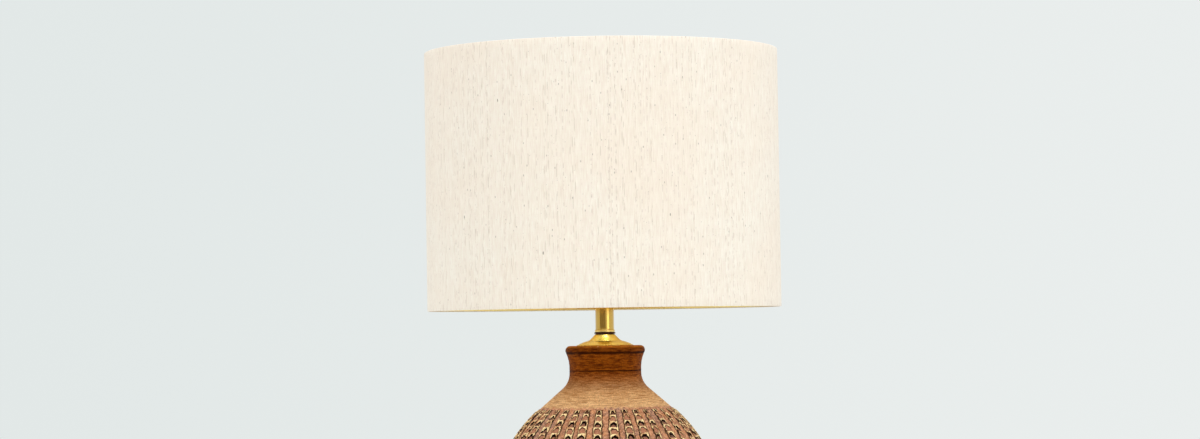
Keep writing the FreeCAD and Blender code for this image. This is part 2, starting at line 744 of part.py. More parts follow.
def harp_sleeve(label, side):
    """A sleeve over a prong and a harp leg, closed at the top but for the leg's own hole."""
    outer = f"({SLEEVE_BORE} + sleeve_wall)"
    under_top = "(sleeve_length - sleeve_top)"
    body = turned(label, LEDGE_Z, [
        (SLEEVE_BORE, "0"),
        (outer, "0"),
        (outer, under_top),
        (f"{outer} - sleeve_wall", "sleeve_length"),
        ("0", "sleeve_length"),
        ("0", under_top),
        (SLEEVE_BORE, under_top),
    ])
    drill(body, "leg_hole", "harp_wire_radius + leg_fit", "sleeve_top + 2 * overrun",
          centre=(f"{side}({LEG_X} - {SLEEVE_X})", "0"), offset=f"{under_top} - overrun")
    bind(body, "Placement.Base.x", f"{side}{SLEEVE_X}")
    return body


def harp_swivel():
    """The stud: riveted head, shank through the harp's pad, collar under the shade, thread."""
    shank_foot = "(stud_collar_height + pad_thickness + 2 * swivel_play)"
    return turned("harp_swivel", HUB_Z, [
        ("0", f"-{shank_foot} - stud_head_height"),
        ("stud_head_radius", f"-{shank_foot} - stud_head_height"),
        ("stud_head_radius", f"-{shank_foot}"),
        ("stud_shank_radius", f"-{shank_foot}"),
        ("stud_shank_radius", "-stud_collar_height"),
        ("stud_collar_radius", "-stud_collar_height"),
        ("stud_collar_radius", "0"),
        ("stud_radius", "0"),
        ("stud_radius", "stud_thread_length - stud_lead"),
        ("stud_radius - stud_lead", "stud_thread_length"),
        ("0", "stud_thread_length"),
    ])


def shade_spider():
    """The hub with its wire arms, each bent up at its outer end to meet the top ring."""
    body = new_body("shade_spider", HUB_Z)
    middle = "(hub_thickness / 2)"
    rise = f"(spider_drop - ring_inset - {middle})"
    start = "(hub_radius - arm_root)"
    end = f"({SHADE_RING_RADIUS} - ring_wire_radius - ring_fit)"
    bend_run = "(arm_bend_radius * sin(arm_rise_angle))"
    bend_rise = "(arm_bend_radius * (1 - cos(arm_rise_angle)))"
    slope_rise = f"({rise} - 2 * {bend_rise})"
    slope_run = f"({slope_rise} / tan(arm_rise_angle))"
    path = draw(new_sketch(body, "arm_line", "YZ_Plane"), [
        (start, middle),
        (f"{end} - arm_stub - 2 * {bend_run} - {slope_run}", middle, "arm_bend_radius", "left"),
        (f"{end} - arm_stub - {bend_run} - {slope_run}", f"{middle} + {bend_rise}"),
        (f"{end} - arm_stub - {bend_run}", f"{middle} + {bend_rise} + {slope_rise}", "arm_bend_radius",
         "right"),
        (f"{end} - arm_stub", f"{middle} + {rise}"),
        (end, f"{middle} + {rise}"),
    ], closed=False)
    section = draw_circle(new_sketch(body, "arm_circle", "XZ_Plane", f"-{start}"), "arm_wire_radius",
                          "0", middle)
    hub = draw_circle(new_sketch(body, "hub_circle", "XY_Plane"), "hub_radius")
    pad(body, hub, "hub_disc", "hub_thickness")
    arm = body.newObject("PartDesign::AdditivePipe", "arm")
    arm.Profile = section
    arm.Spine = path
    pattern(body, arm, "arms", hub, "N_Axis", "arm_count")
    drill(body, "hub_hole", "stud_radius + hub_fit", "hub_thickness + overrun")
    return body


def shade_pieces():
    """Spider, the two wire rings, lining and fabric of the drum."""
    shade_spider()
    for label, height in (("shade_top_ring", f"{SHADE_TOP_Z} - ring_inset"),
                          ("shade_bottom_ring", f"{SHADE_BOTTOM_Z} + ring_inset")):
        ring = keep(doc.addObject("Part::Torus", label), label)
        bind(ring, "Radius1", SHADE_RING_RADIUS)
        bind(ring, "Radius2", "ring_wire_radius")
        lift(ring, height)
    edge = "(fabric_thickness + lining_fit)"
    washer("shade_lining", f"{SHADE_BOTTOM_Z} + {edge}", LINING_OUTER, LINING_INNER,
           f"shade_height - 2 * {edge}")
    wall = "(shade_radius - fabric_thickness)"
    turned("shade_fabric", SHADE_BOTTOM_Z, [
        (LINING_INNER, "0"),
        ("shade_radius", "0"),
        ("shade_radius", "shade_height"),
        (LINING_INNER, "shade_height"),
        (LINING_INNER, "shade_height - fabric_thickness"),
        (wall, "shade_height - fabric_thickness"),
        (wall, "fabric_thickness"),
        (LINING_INNER, "fabric_thickness"),
    ])


def finial_pieces():
    """The washer that the finial carries, and the turned finial itself."""
    bore = "(stud_radius + finial_fit)"
    washer("finial_washer", FINIAL_WASHER_Z, "finial_washer_radius", bore, "finial_washer_thickness")
    waist = "(finial_foot_height + finial_waist_height)"
    ball_low = "sqrt(finial_ball_radius^2 - finial_waist_radius^2)"
    ball_high = "sqrt(finial_ball_radius^2 - finial_button_radius^2)"
    ball_top = f"({waist} + {ball_low} + {ball_high})"
    depth = f"({HUB_Z} + stud_thread_length + swivel_play - {FINIAL_Z})"
    turned("finial", FINIAL_Z, [
        (bore, "0"),
        ("finial_foot_radius", "0"),
        ("finial_foot_radius", "finial_foot_height", "finial_waist_height", "right"),
        ("finial_waist_radius", waist, "finial_ball_radius", "left"),
        ("finial_button_radius", ball_top),
        ("finial_button_radius", f"{ball_top} + finial_button_height", "finial_button_radius", "left"),
        ("0", f"{ball_top} + finial_button_height + finial_button_radius"),
        ("0", depth),
        (bore, depth),
    ])


def socket_shells():
    """The lamp holder's cap, its set screw, its shell with a rolled bead, and the card liner."""
    cone_end = f"({CONE_FLOOR} + ({SOCKET_BORE} - {BOSS_RADIUS}) * {CONE_SLOPE})"
    cap = turned("socket_cap", SOCKET_Z, [
        (PIPE_BORE, "0"),
        (BOSS_RADIUS, "0"),
        (BOSS_RADIUS, "boss_height"),
        (SOCKET_RADIUS, "boss_height + socket_cone_height"),
        (SOCKET_RADIUS, CAP_RIM_TOP),
        (SOCKET_BORE, CAP_RIM_TOP),
        (SOCKET_BORE, cone_end),
        (BOSS_RADIUS, CONE_FLOOR),
        (PIPE_BORE, CONE_FLOOR),
    ])
    drill(cap, "set_screw_hole", "set_screw_radius + shell_fit", f"{BOSS_RADIUS} + overrun", "XZ_Plane",
          ("0", "boss_height / 2"), reverse=False)
    shank = f"({BOSS_RADIUS} + shell_fit - {PIPE_BORE})"
    screw = turned("cap_set_screw", f"{SOCKET_Z} + boss_height / 2", [
        ("0", "0"),
        ("set_screw_radius", "0"),
        ("set_screw_radius", shank),
        ("set_screw_head_radius", shank),
        ("set_screw_head_radius", f"{shank} + set_screw_head_height"),
        ("0", f"{shank} + set_screw_head_height"),
    ])
    lay_along(screw, "+Y", PIPE_BORE)
    bead_foot = "(shell_height - shell_bead_drop - shell_bead_height)"
    bead = "(shell_bead_height^2 / (8 * shell_bead_proud) + shell_bead_proud / 2)"
    shell = turned("socket_shell", f"{SOCKET_Z} + {SHELL_RISE}", [
        (SHELL_BORE, "0"),
        (SHELL_RADIUS, "0"),
        (SHELL_RADIUS, bead_foot, bead, "left"),
        (SHELL_RADIUS, "shell_height - shell_bead_drop"),
        (SHELL_RADIUS, "shell_height"),
        (SHELL_BORE, "shell_height"),
    ])
    liner = washer("socket_liner", f"{SOCKET_Z} + {SHELL_RISE}", LINER_RADIUS, LINER_BORE,
                   "shell_height - liner_margin")
    for body in (shell, liner):
        drill(body, f"{body.Name}_switch_hole", "switch_hole_radius", f"{SOCKET_RADIUS} + overrun",
              "XZ_Plane", ("0", f"{SWITCH_RISE} - {SHELL_RISE}"))


def socket_inside():
    """The insulating block, its terminal screws, the screw shell and the sprung centre contact."""
    block = turned("socket_block", f"{SOCKET_Z} + {BLOCK_RISE}", [
        ("0", "0"),
        (BLOCK_RADIUS, "0"),
        (BLOCK_RADIUS, "block_height"),
        ("0", "block_height"),
    ])
    drill(block, "spindle_hole", "spindle_radius + spindle_fit", "spindle_depth + overrun", "XZ_Plane",
          ("0", f"{SWITCH_RISE} - {BLOCK_RISE}"), f"{BLOCK_RADIUS} - spindle_depth")
    terminal_hole = draw_circle(new_sketch(block, "terminal_circle", "YZ_Plane"),
                                "terminal_shank_radius + shell_fit", "0", "terminal_height")
    pocket(block, terminal_hole, "terminal_holes", f"2 * ({BLOCK_RADIUS} + overrun)", midplane=True)
    screws = []
    for side, angle in (("", 90.0), ("-", -90.0)):
        turn = Rotation(Vector(0, 1, 0), angle)
        pair = []
        for name, radius, length, foot in (
            ("shank", "terminal_shank_radius", "terminal_shank_length",
             f"({BLOCK_RADIUS} - terminal_shank_length)"),
            ("head", "terminal_head_radius", "terminal_head_height", BLOCK_RADIUS),
        ):
            made = part_cylinder(f"terminal_{name}", radius, length, f"{SOCKET_Z} + {TERMINAL_RISE}")
            made.Placement = Placement(made.Placement.Base, turn)
            bind(made, "Placement.Base.x", f"{side}{foot}")
            pair.append(made)
        screw = doc.addObject("Part::Fuse", "terminal_screw")
        screw.Base, screw.Tool = pair
        screws.append(screw)
    group = keep(doc.addObject("Part::Compound", "terminal_screws"), "terminal_screws")
    group.Links = screws
    bore = f"({SCREW_SHELL_RADIUS} - screw_shell_wall)"
    turned("screw_shell", f"{SOCKET_Z} + {BLOCK_TOP}", [
        ("screw_shell_hole", "0"),
        (SCREW_SHELL_RADIUS, "0"),
        (SCREW_SHELL_RADIUS, "screw_shell_height"),
        (bore, "screw_shell_height"),
        (bore, "screw_shell_wall"),
        ("screw_shell_hole", "screw_shell_wall"),
    ])
    contact = new_body("centre_contact", f"{SOCKET_Z} + {BLOCK_TOP}")
    half, tall = "contact_half_length", "(contact_height + contact_strip)"
    strip = draw(new_sketch(contact, "contact_side"), [
        (f"-{half}", "0"),
        (half, "0"),
        (half, tall),
        (f"-{half}", tall),
        (f"-{half}", "contact_height"),
        (f"{half} - contact_strip", "contact_height"),
        (f"{half} - contact_strip", "contact_strip"),
        (f"-{half}", "contact_strip"),
    ])
    pad(contact, strip, "contact_bend", "contact_width", midplane=True)


def switch_pieces():
    """The switch's spindle and its fluted knob, both laid towards the front."""
    knob_foot = f"({SOCKET_RADIUS} + knob_gap)"
    inner_end = f"({BLOCK_RADIUS} - spindle_depth + spindle_fit)"
    length = f"({knob_foot} + spindle_grip - {inner_end})"
    spindle = turned("switch_spindle", SWITCH_Z, [
        ("0", "0"),
        ("spindle_radius", "0"),
        ("spindle_radius", length),
        ("0", length),
    ])
    lay_along(spindle, "-Y", inner_end)
    total = "(knob_neck_length + knob_length)"
    knob = turned("switch_knob", SWITCH_Z, [
        ("spindle_radius", "0"),
        ("knob_neck_radius", "0"),
        ("knob_neck_radius", "knob_neck_length"),
        ("knob_radius", "knob_neck_length"),
        ("knob_radius", f"{total} - knob_crown", "knob_crown", "left"),
        ("knob_radius - knob_crown", total),
        ("0", total),
        ("0", "spindle_grip"),
        ("spindle_radius", "spindle_grip"),
    ])
    circle = draw_circle(new_sketch(knob, "flute_circle", "XY_Plane", "knob_neck_length - overrun"),
                         "knob_flute_radius", "knob_radius + knob_flute_offset")
    flute = pocket(knob, circle, "flute", "knob_length + 2 * overrun", reverse=True)
    pattern(knob, flute, "flutes", circle, "N_Axis", "knob_flute_count")
    lay_along(knob, "-Y", knob_foot)


def bulb_pieces():
    """The bulb: centre contact, insulator, screw cap, and the blown glass with its flared neck."""
    turned("bulb_contact", BULB_Z, [
        ("0", "0"),
        ("bulb_tip_radius - bulb_tip_height / 2", "0"),
        ("bulb_tip_radius", "bulb_tip_height"),
        ("0", "bulb_tip_height"),
    ])
    turned("bulb_insulator", f"{BULB_Z} + bulb_tip_height", [
        ("0", "0"),
        ("bulb_tip_radius", "0"),
        ("bulb_insulator_radius", "bulb_insulator_height"),
        ("0", "bulb_insulator_height"),
    ])
    curl = "(bulb_cap_radius - bulb_insulator_radius)"
    cap_foot = "(bulb_tip_height + bulb_insulator_height)"
    lip = "(bulb_cap_wall * sqrt(2))"
    turned("bulb_cap", f"{BULB_Z} + {cap_foot}", [
        ("bulb_insulator_radius", "0"),
        ("bulb_cap_radius", curl),
        ("bulb_cap_radius", "bulb_cap_height"),
        ("bulb_cap_radius - bulb_cap_wall", "bulb_cap_height"),
        ("bulb_cap_radius - bulb_cap_wall", f"{curl} - bulb_cap_wall + {lip}"),
        ("bulb_insulator_radius", lip),
    ])
    neck = "(bulb_cap_radius - bulb_cap_wall - bulb_neck_fit)"
    flare = f"(({neck}^2 + bulb_flare_height^2 - bulb_radius^2) / (2 * (bulb_radius - {neck})))"
    flare_foot = "(bulb_neck_depth + bulb_neck_rise)"
    centre = f"({flare_foot} + bulb_flare_height)"

    def meeting(radius):
        """Where the neck's flare runs into the ball, for the outside or the inside of the glass."""
        share = f"({radius} / (bulb_radius + {flare}))"
        return f"({neck} + {flare}) * {share}", f"{centre} - bulb_flare_height * {share}"

    inner_ball = "(bulb_radius - bulb_glass_wall)"
    turned("bulb_glass", f"{BULB_Z} + {cap_foot} + bulb_cap_height - bulb_neck_depth", [
        (f"{neck} - bulb_glass_wall", "0"),
        (neck, "0"),
        (neck, flare_foot, flare, "right"),
        (*meeting("bulb_radius"), "bulb_radius", "left"),
        ("bulb_radius", centre, "bulb_radius", "left"),
        ("0", f"{centre} + bulb_radius"),
        ("0", f"{centre} + {inner_ball}", inner_ball, "right"),
        (inner_ball, centre, inner_ball, "right"),
        (*meeting(inner_ball), f"{flare} + bulb_glass_wall", "left"),
        (f"{neck} - bulb_glass_wall", flare_foot),
    ])


def check_and_export():
    """Stops at any failed object, and otherwise writes one file for each node."""
    doc.recompute()
    failed = [item.Name for item in doc.Objects if {"Invalid", "Error"} & set(item.State)]
    for node in nodes:
        if node.Shape.isNull() or not node.Shape.isValid():
            failed.append(node.Label)
    if failed:
        raise RuntimeError("these objects failed: " + ", ".join(failed))
    os.makedirs("parts", exist_ok=True)
    for node in nodes:
        node.Shape.exportStep(f"parts/{node.Label}.step")
        print(f"{node.Label}: {len(node.Shape.Solids)} solid, {node.Shape.Volume:.0f} mm3")


fill_sheet()
foot_pieces()
ceramic_body()
stem_pieces()
harp_saddle()
hex_nut("saddle_nut", SADDLE_NUT_Z, "saddle_nut_height")
harp_wire()
harp_sleeve("harp_sleeve_left", "-")
harp_sleeve("harp_sleeve_right", "")
harp_swivel()
shade_pieces()
finial_pieces()
socket_shells()
socket_inside()
switch_pieces()
bulb_pieces()
check_and_export()
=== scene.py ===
"""Dresses the stoneware table lamp: its finishes, its detailed pieces, the studio and the camera.

All lengths are in metres and all stated angles in degrees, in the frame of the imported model: +Z is up,
the foot stands on z = 0 and the lamp's axis is the Z axis.
"""

import logging
import math
from dataclasses import dataclass, field
from enum import Enum
from typing import Callable, Optional, Sequence, Union

import bpy
import numpy as np
from mathutils import Euler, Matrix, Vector


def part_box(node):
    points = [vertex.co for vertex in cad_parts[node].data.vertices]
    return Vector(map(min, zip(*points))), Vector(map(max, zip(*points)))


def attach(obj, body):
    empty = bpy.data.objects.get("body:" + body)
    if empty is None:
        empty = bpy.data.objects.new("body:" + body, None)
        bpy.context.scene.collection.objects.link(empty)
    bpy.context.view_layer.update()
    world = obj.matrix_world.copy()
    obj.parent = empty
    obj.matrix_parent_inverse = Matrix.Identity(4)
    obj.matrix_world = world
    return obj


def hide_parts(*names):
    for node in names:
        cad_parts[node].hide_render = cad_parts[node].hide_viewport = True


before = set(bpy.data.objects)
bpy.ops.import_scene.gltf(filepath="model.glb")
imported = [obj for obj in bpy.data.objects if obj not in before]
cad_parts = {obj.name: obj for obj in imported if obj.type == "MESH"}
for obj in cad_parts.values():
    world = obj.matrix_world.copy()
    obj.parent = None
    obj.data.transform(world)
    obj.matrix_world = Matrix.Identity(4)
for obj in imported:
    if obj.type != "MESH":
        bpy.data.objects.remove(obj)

logging.basicConfig(level=logging.INFO, format="%(message)s")
log = logging.getLogger("table_lamp")

NOTHING = 1e-7
TENTH = 0.0001  # a tenth of a millimetre, for the small steps of an outline
INCH = 0.0254
BULB_PITCH = INCH / 7
FULL_TURN = 2.0 * math.pi

Colour = tuple[float, float, float]
Point = tuple[float, float]
Place = tuple[float, float, float]
Wave = tuple[float, float, float]
Share = Union[float, np.ndarray]
Ripple = Callable[[float, float, float], float]
Measures = dict[str, np.ndarray]
Rings = tuple[list[np.ndarray], list[Measures]]


class Way(Enum):
    """How a second colour goes over a first one."""

    OVER = "MIX"
    TIMES = "MULTIPLY"


class Spigot(Enum):
    """Which way a ring's spigot points."""

    UP = 1
    DOWN = -1


def tint(red: int, green: int, blue: int) -> Colour:
    """A colour on the 0 to 255 display scale, turned into the linear scale of the shaders.

    Args:
        red: Red, 0 to 255.
        green: Green, 0 to 255.
        blue: Blue, 0 to 255.

    Returns:
        The linear colour.
    """
    shares = (level / 255.0 for level in (red, green, blue))
    return tuple(share / 12.92 if share <= 0.04045 else ((share + 0.055) / 1.055) ** 2.4 for share in shares)


def smooth_step(low: float, high: float, value: Share) -> Share:
    """A share that runs smoothly from 0 at low to 1 at high."""
    share = np.clip((value - low) / (high - low), 0.0, 1.0)
    return share * share * (3.0 - 2.0 * share)


# Outlines and meshes


class Outline:
    """One half of a turned section, drawn point by point as (radius, height)."""

    def __init__(self, radius: float, height: float) -> None:
        """Starts the outline at a point."""
        self.points: list[Point] = [(radius, height)]

    def line(self, radius: float, height: float, steps: int = 1) -> "Outline":
        """Draws a straight edge to a point.

        Args:
            radius: Radius of the edge's end.
            height: Height of the edge's end.
            steps: How many equal edges the straight stretch is cut into.

        Returns:
            The outline itself.
        """
        first_radius, first_height = self.points[-1]
        for share in (step / steps for step in range(1, steps + 1)):
            self.points.append((first_radius + (radius - first_radius) * share,
                                first_height + (height - first_height) * share))
        return self

    def arc(self, radius: float, height: float, bend: float, steps: int = 10) -> "Outline":
        """Draws an arc to a point.

        Args:
            radius: Radius of the arc's end.
            height: Height of the arc's end.
            bend: The arc's own radius, above zero where it turns left and below zero where it turns right.
            steps: How many edges the arc is cut into.

        Returns:
            The outline itself.
        """
        start, finish = np.array(self.points[-1]), np.array([radius, height])
        chord = finish - start
        length = float(np.hypot(*chord))
        side = math.copysign(1.0, bend)
        rise = math.sqrt(max(bend * bend - length * length / 4.0, 0.0))
        centre = (start + finish) / 2.0 + side * rise * np.array([-chord[1], chord[0]]) / length
        first = math.atan2(start[1] - centre[1], start[0] - centre[0])
        sweep = side * 2.0 * math.asin(min(1.0, length / 2.0 / abs(bend)))
        for angle in (first + sweep * step / steps for step in range(1, steps + 1)):
            self.points.append((float(centre[0] + abs(bend) * math.cos(angle)),
                                float(centre[1] + abs(bend) * math.sin(angle))))
        return self


def eased(points: Sequence[Point], reach: float, steps: int = 3, closed: bool = True) -> list[Point]:
    """Rounds the sharp corners of an outline, as filing or polishing leaves them.

    Args:
        points: The outline's points.
        reach: How far the rounding starts from each corner.
        steps: How many edges each rounding has.
        closed: Whether the last point joins the first.

    Returns:
        The points of the rounded outline.
    """
    nearly_straight, longest_share = -0.9, 0.4
    rounded: list[Point] = []
    count = len(points)
    for index, corner in enumerate(points):
        here = np.array(corner)
        before, after = np.array(points[index - 1]) - here, np.array(points[(index + 1) % count]) - here
        first, last = float(np.hypot(*before)), float(np.hypot(*after))
        at_end = not closed and index in (0, count - 1)
        if at_end or min(first, last) < NOTHING or float(before @ after) / (first * last) < nearly_straight:
            rounded.append((float(here[0]), float(here[1])))
            continue
        start = here + before / first * min(reach, longest_share * first)
        finish = here + after / last * min(reach, longest_share * last)
        for share in (step / steps for step in range(steps + 1)):
            point = (1 - share) ** 2 * start + 2 * share * (1 - share) * here + share ** 2 * finish
            rounded.append((float(point[0]), float(point[1])))
    return rounded


def new_piece(name: str, vertices: Sequence[Sequence[float]], faces: Sequence[Sequence[int]],
              crease: float = 32.0) -> bpy.types.Object:
    """Makes a mesh object with smooth faces and sharp creases.

    Args:
        name: The piece's name.
        vertices: Its points.
        faces: Its faces as point numbers.
        crease: The angle between faces past which an edge stays sharp.

    Returns:
        The new object, linked to the scene.
    """
    mesh = bpy.data.meshes.new(name)
    mesh.from_pydata([tuple(map(float, v)) for v in vertices], [], [tuple(map(int, f)) for f in faces])
    mesh.validate()
    mesh.shade_smooth()
    mesh.set_sharp_from_angle(angle=math.radians(crease))
    piece = bpy.data.objects.new(name, mesh)
    bpy.context.scene.collection.objects.link(piece)
    return piece


def round_axis(radius: Share, angles: np.ndarray, height: Share) -> np.ndarray:
    """Points round the lamp's axis, one for each angle."""
    return np.stack(np.broadcast_arrays(radius * np.cos(angles), radius * np.sin(angles), height), 1)


def even_angles(segments: int) -> list[float]:
    """Angles that share a full turn evenly."""
    return [FULL_TURN * step / segments for step in range(segments)]


def turned(name: str, points: Sequence[Point], angles: Sequence[float], closed: bool = True,
           ripple: Optional[Ripple] = None, crease: float = 50.0) -> bpy.types.Object:
    """Turns an outline a full circle into a closed piece.

    Args:
        name: The piece's name.
        points: The outline, drawn with the material on its left.
        angles: Where the piece's edges stand round the axis.
        closed: Whether the last point joins the first. An open outline starts and ends on the axis.
        ripple: What to add to the radius at an angle, radius and height, for threads, flutes and knurls.
        crease: The angle between faces past which an edge stays sharp.

    Returns:
        The new object.
    """
    segments = len(angles)
    vertices: list[tuple[float, float, float]] = []
    rings: list[list[int]] = []
    for radius, height in points:
        start = len(vertices)
        if radius < NOTHING:
            vertices.append((0.0, 0.0, height))
            rings.append([start] * segments)
            continue
        for angle in angles:
            reach = radius + (ripple(angle, radius, height) if ripple else 0.0)
            vertices.append((reach * math.cos(angle), reach * math.sin(angle), height))
        rings.append(list(range(start, start + segments)))
    faces: list[tuple[int, ...]] = []
    pairs = list(zip(rings, rings[1:])) + ([(rings[-1], rings[0])] if closed else [])
    for lower, upper in pairs:
        for step in range(segments):
            beside = (step + 1) % segments
            face = tuple(dict.fromkeys((lower[step], lower[beside], upper[beside], upper[step])))
            if len(face) > 2:
                faces.append(face)
    return new_piece(name, vertices, faces, crease)


@dataclass(frozen=True)
class Thread:
    """A rounded right-hand thread that runs out softly at one or both of its ends."""

    pitch: float
    depth: float
    run_out: float
    start: float
    finish: Optional[float] = None

    def cut(self, angle: float, height: float) -> float:
        """How far the thread lies under its crest at an angle and height."""
        runs = smooth_step(self.start, self.start + self.run_out, height)
        if self.finish is not None:
            runs *= smooth_step(self.finish, self.finish - self.run_out, height)
        crest = 0.5 + 0.5 * math.cos(FULL_TURN * height / self.pitch - angle)
        return self.depth * float(runs) * (1.0 - crest)


# Shader nodes


class Mark:
    """A number or colour that varies over a surface: one output of a node, with plain sums on it."""

    def __init__(self, graph: "Graph", socket: bpy.types.NodeSocket) -> None:
        """Keeps the output with the graph that it lies in."""
        self.graph, self.socket = graph, socket

    def by(self, operation: str, *others: "Amount") -> "Mark":
        """The result of a named operation on it and the other amounts."""
        return self.graph.add("Math", dict(enumerate((self, *others))), operation=operation)[0]

    def __add__(self, other: "Amount") -> "Mark":
        """Their sum."""
        return self.by("ADD", other)

    def __sub__(self, other: "Amount") -> "Mark":
        """It less the other."""
        return self.by("SUBTRACT", other)

    def __rsub__(self, other: float) -> "Mark":
        """The other less it."""
        return self.graph.add("Math", {0: other, 1: self}, operation="SUBTRACT")[0]

    def __mul__(self, other: "Amount") -> "Mark":
        """Their product."""
        return self.by("MULTIPLY", other)

    def __truediv__(self, other: "Amount") -> "Mark":
        """It over the other."""
        return self.by("DIVIDE", other)

    def __pow__(self, other: float) -> "Mark":
        """It to a power."""
        return self.by("POWER", other)

    def clamped(self) -> "Mark":
        """The result of the last sum, kept from 0 to 1."""
        self.socket.node.use_clamp = True
        return self

    def spread(self, low: float, high: float, first: float = 0.0, last: float = 1.0) -> "Mark":
        """It moved smoothly from one range to another and kept inside it.

        Args:
            low: The value that becomes first.
            high: The value that becomes last.
            first: The result at low.
            last: The result at high.

        Returns:
            The moved number.
        """
        inputs = {0: self, 1: low, 2: high, 3: first, 4: last}
        return self.graph.add("MapRange", inputs, interpolation_type="SMOOTHSTEP")[0]


Amount = Union[Mark, float]
Tint = Union[Mark, Colour]


class Placed:
    """A node in its graph, whose outputs are read by name or number."""

    def __init__(self, graph: "Graph", node: bpy.types.Node) -> None:
        """Keeps the node with the graph that it lies in."""
        self.graph, self.node = graph, node

    def __getitem__(self, key: Union[str, int]) -> Mark:
        """The output of a name or number."""
        return Mark(self.graph, self.node.outputs[key])


class Graph:
    """A tree of shader nodes."""

    def __init__(self, tree: bpy.types.NodeTree) -> None:
        """Takes the tree that the nodes go into."""
        self.tree = tree

    def fill(self, node: bpy.types.Node, inputs: dict) -> None:
        """Fills inputs of a node.

        Args:
            node: The node.
            inputs: What goes to each input, by name or number: a mark, or a plain value.
        """
        for key, value in inputs.items():
            socket = node.inputs[key]
            if isinstance(value, Mark):
                self.tree.links.new(value.socket, socket)
            else:
                socket.default_value = (*value, 1.0)[:4] if socket.type == "RGBA" else value

    def add(self, kind: str, inputs: Optional[dict] = None, **settings: object) -> Placed:
        """Adds a node with its settings and inputs.

        Args:
            kind: The node's type.
            inputs: What goes to each input, by name or number.
            settings: The node's own properties.

        Returns:
            The new node.
        """
        node = self.tree.nodes.new(f"ShaderNode{kind}")
        for name, value in settings.items():
            setattr(node, name, value)
        self.fill(node, inputs or {})
        return Placed(self, node)

    def mix(self, share: Amount, first: Tint, second: Tint, way: Way = Way.OVER) -> Mark:
        """A colour between two others.

        Args:
            share: How much of the second colour there is.
            first: The first colour.
            second: The second colour.
            way: How the second goes over the first.

        Returns:
            The mixed colour.
        """
        return self.add("Mix", {0: share, 6: first, 7: second}, data_type="RGBA", blend_type=way.value)[2]

    def parts(self, point: Mark) -> tuple[Mark, Mark, Mark]:
        """The three parts of a point."""
        split = self.add("SeparateXYZ", {0: point})
        return split[0], split[1], split[2]

    def measure(self, label: str) -> Mark:
        """A measure that the mesh itself carries."""
        return self.add("Attribute", attribute_name=label)["Fac"]


class Effect(Graph):
    """A surface effect that several materials share, kept as one node group."""

    def __init__(self, name: str, inputs: dict[str, float], outputs: Sequence[str]) -> None:
        """Makes the group and its sockets.

        Args:
            name: The group's name.
            inputs: Each numeric input with its default. The point comes before them.
            outputs: The names of the outputs, which are all numbers.
        """
        super().__init__(bpy.data.node_groups.new(name, "ShaderNodeTree"))
        sockets = self.tree.interface
        sockets.new_socket("Point", in_out="INPUT", socket_type="NodeSocketVector")
        for label, default in inputs.items():
            sockets.new_socket(label, in_out="INPUT", socket_type="NodeSocketFloat").default_value = default
        for label in outputs:
            sockets.new_socket(label, in_out="OUTPUT", socket_type="NodeSocketFloat")
        self.given = Placed(self, self.tree.nodes.new("NodeGroupInput"))
        self.result = self.tree.nodes.new("NodeGroupOutput")

    def give(self, label: str, value: Mark) -> None:
        """Sends a value out of the group under a label."""
        self.fill(self.result, {label: value})

    def on(self, point: Mark, **values: float) -> Placed:
        """Puts the effect in the graph of a point, with its own values."""
        named = {label.replace("_", " ").capitalize(): value for label, value in values.items()}
        return point.graph.add("Group", {"Point": point} | named, node_tree=self.tree)


def grain_effect() -> Effect:
    """Broad and fine unevenness of a surface.

    Returns:
        The effect, with outputs Broad and Fine from 0 to 1.
    """
    effect = Effect("Grain", {"Broad scale": 40.0, "Fine scale": 900.0, "Seed": 0.0}, ("Broad", "Fine"))
    given = effect.given
    for label, detail in (("Broad", 5.0), ("Fine", 3.0)):
        noise = effect.add("TexNoise", {"Vector": given["Point"], "W": given["Seed"], "Roughness": 0.6,
                                        "Scale": given[f"{label} scale"], "Detail": detail},
                           noise_dimensions="4D")
        effect.give(label, noise[0].spread(0.3, 0.7))
    return effect


def turning_effect() -> Effect:
    """Lines that run round the lamp's axis, as a lathe or a potter's hand leaves them.

    Returns:
        The effect, with outputs Line from 0 to 1 and Streak, a rarer and stronger line.
    """
    effect = Effect("Turning lines", {"Density": 1500.0, "Wander": 1.0}, ("Line", "Streak"))
    given = effect.given
    x, y, z = effect.parts(given["Point"])
    radius = (x * x + y * y).by("SQRT")
    east, north = (part / radius * given["Wander"] for part in (x, y))
    along = (z - radius) * given["Density"]
    for label, share, low, high in (("Line", 1.0, 0.34, 0.66), ("Streak", 0.31, 0.56, 0.72)):
        point = effect.add("CombineXYZ", {0: east, 1: north, 2: along * share})[0]
        noise = effect.add("TexNoise", {"Vector": point, "Scale": 1.0, "Detail": 3.0, "Roughness": 0.65})
        effect.give(label, noise[0].spread(low, high))
    return effect


def speck_effect() -> Effect:
    """Small spots scattered at random.

    Returns:
        The effect, with output Spot from 0 to 1. Share is how many of the cells hold a spot.
    """
    effect = Effect("Specks", {"Scale": 300.0, "Size": 0.25, "Share": 0.3}, ("Spot",))
    given = effect.given
    cells = effect.add("TexVoronoi", {"Vector": given["Point"], "Scale": given["Scale"]})
    there = effect.add("SeparateColor", {0: cells["Color"]})[0].by("LESS_THAN", given["Share"])
    near = (1.0 - cells["Distance"] / given["Size"]).clamped()
    effect.give("Spot", near.spread(0.0, 0.5) * there)
    return effect


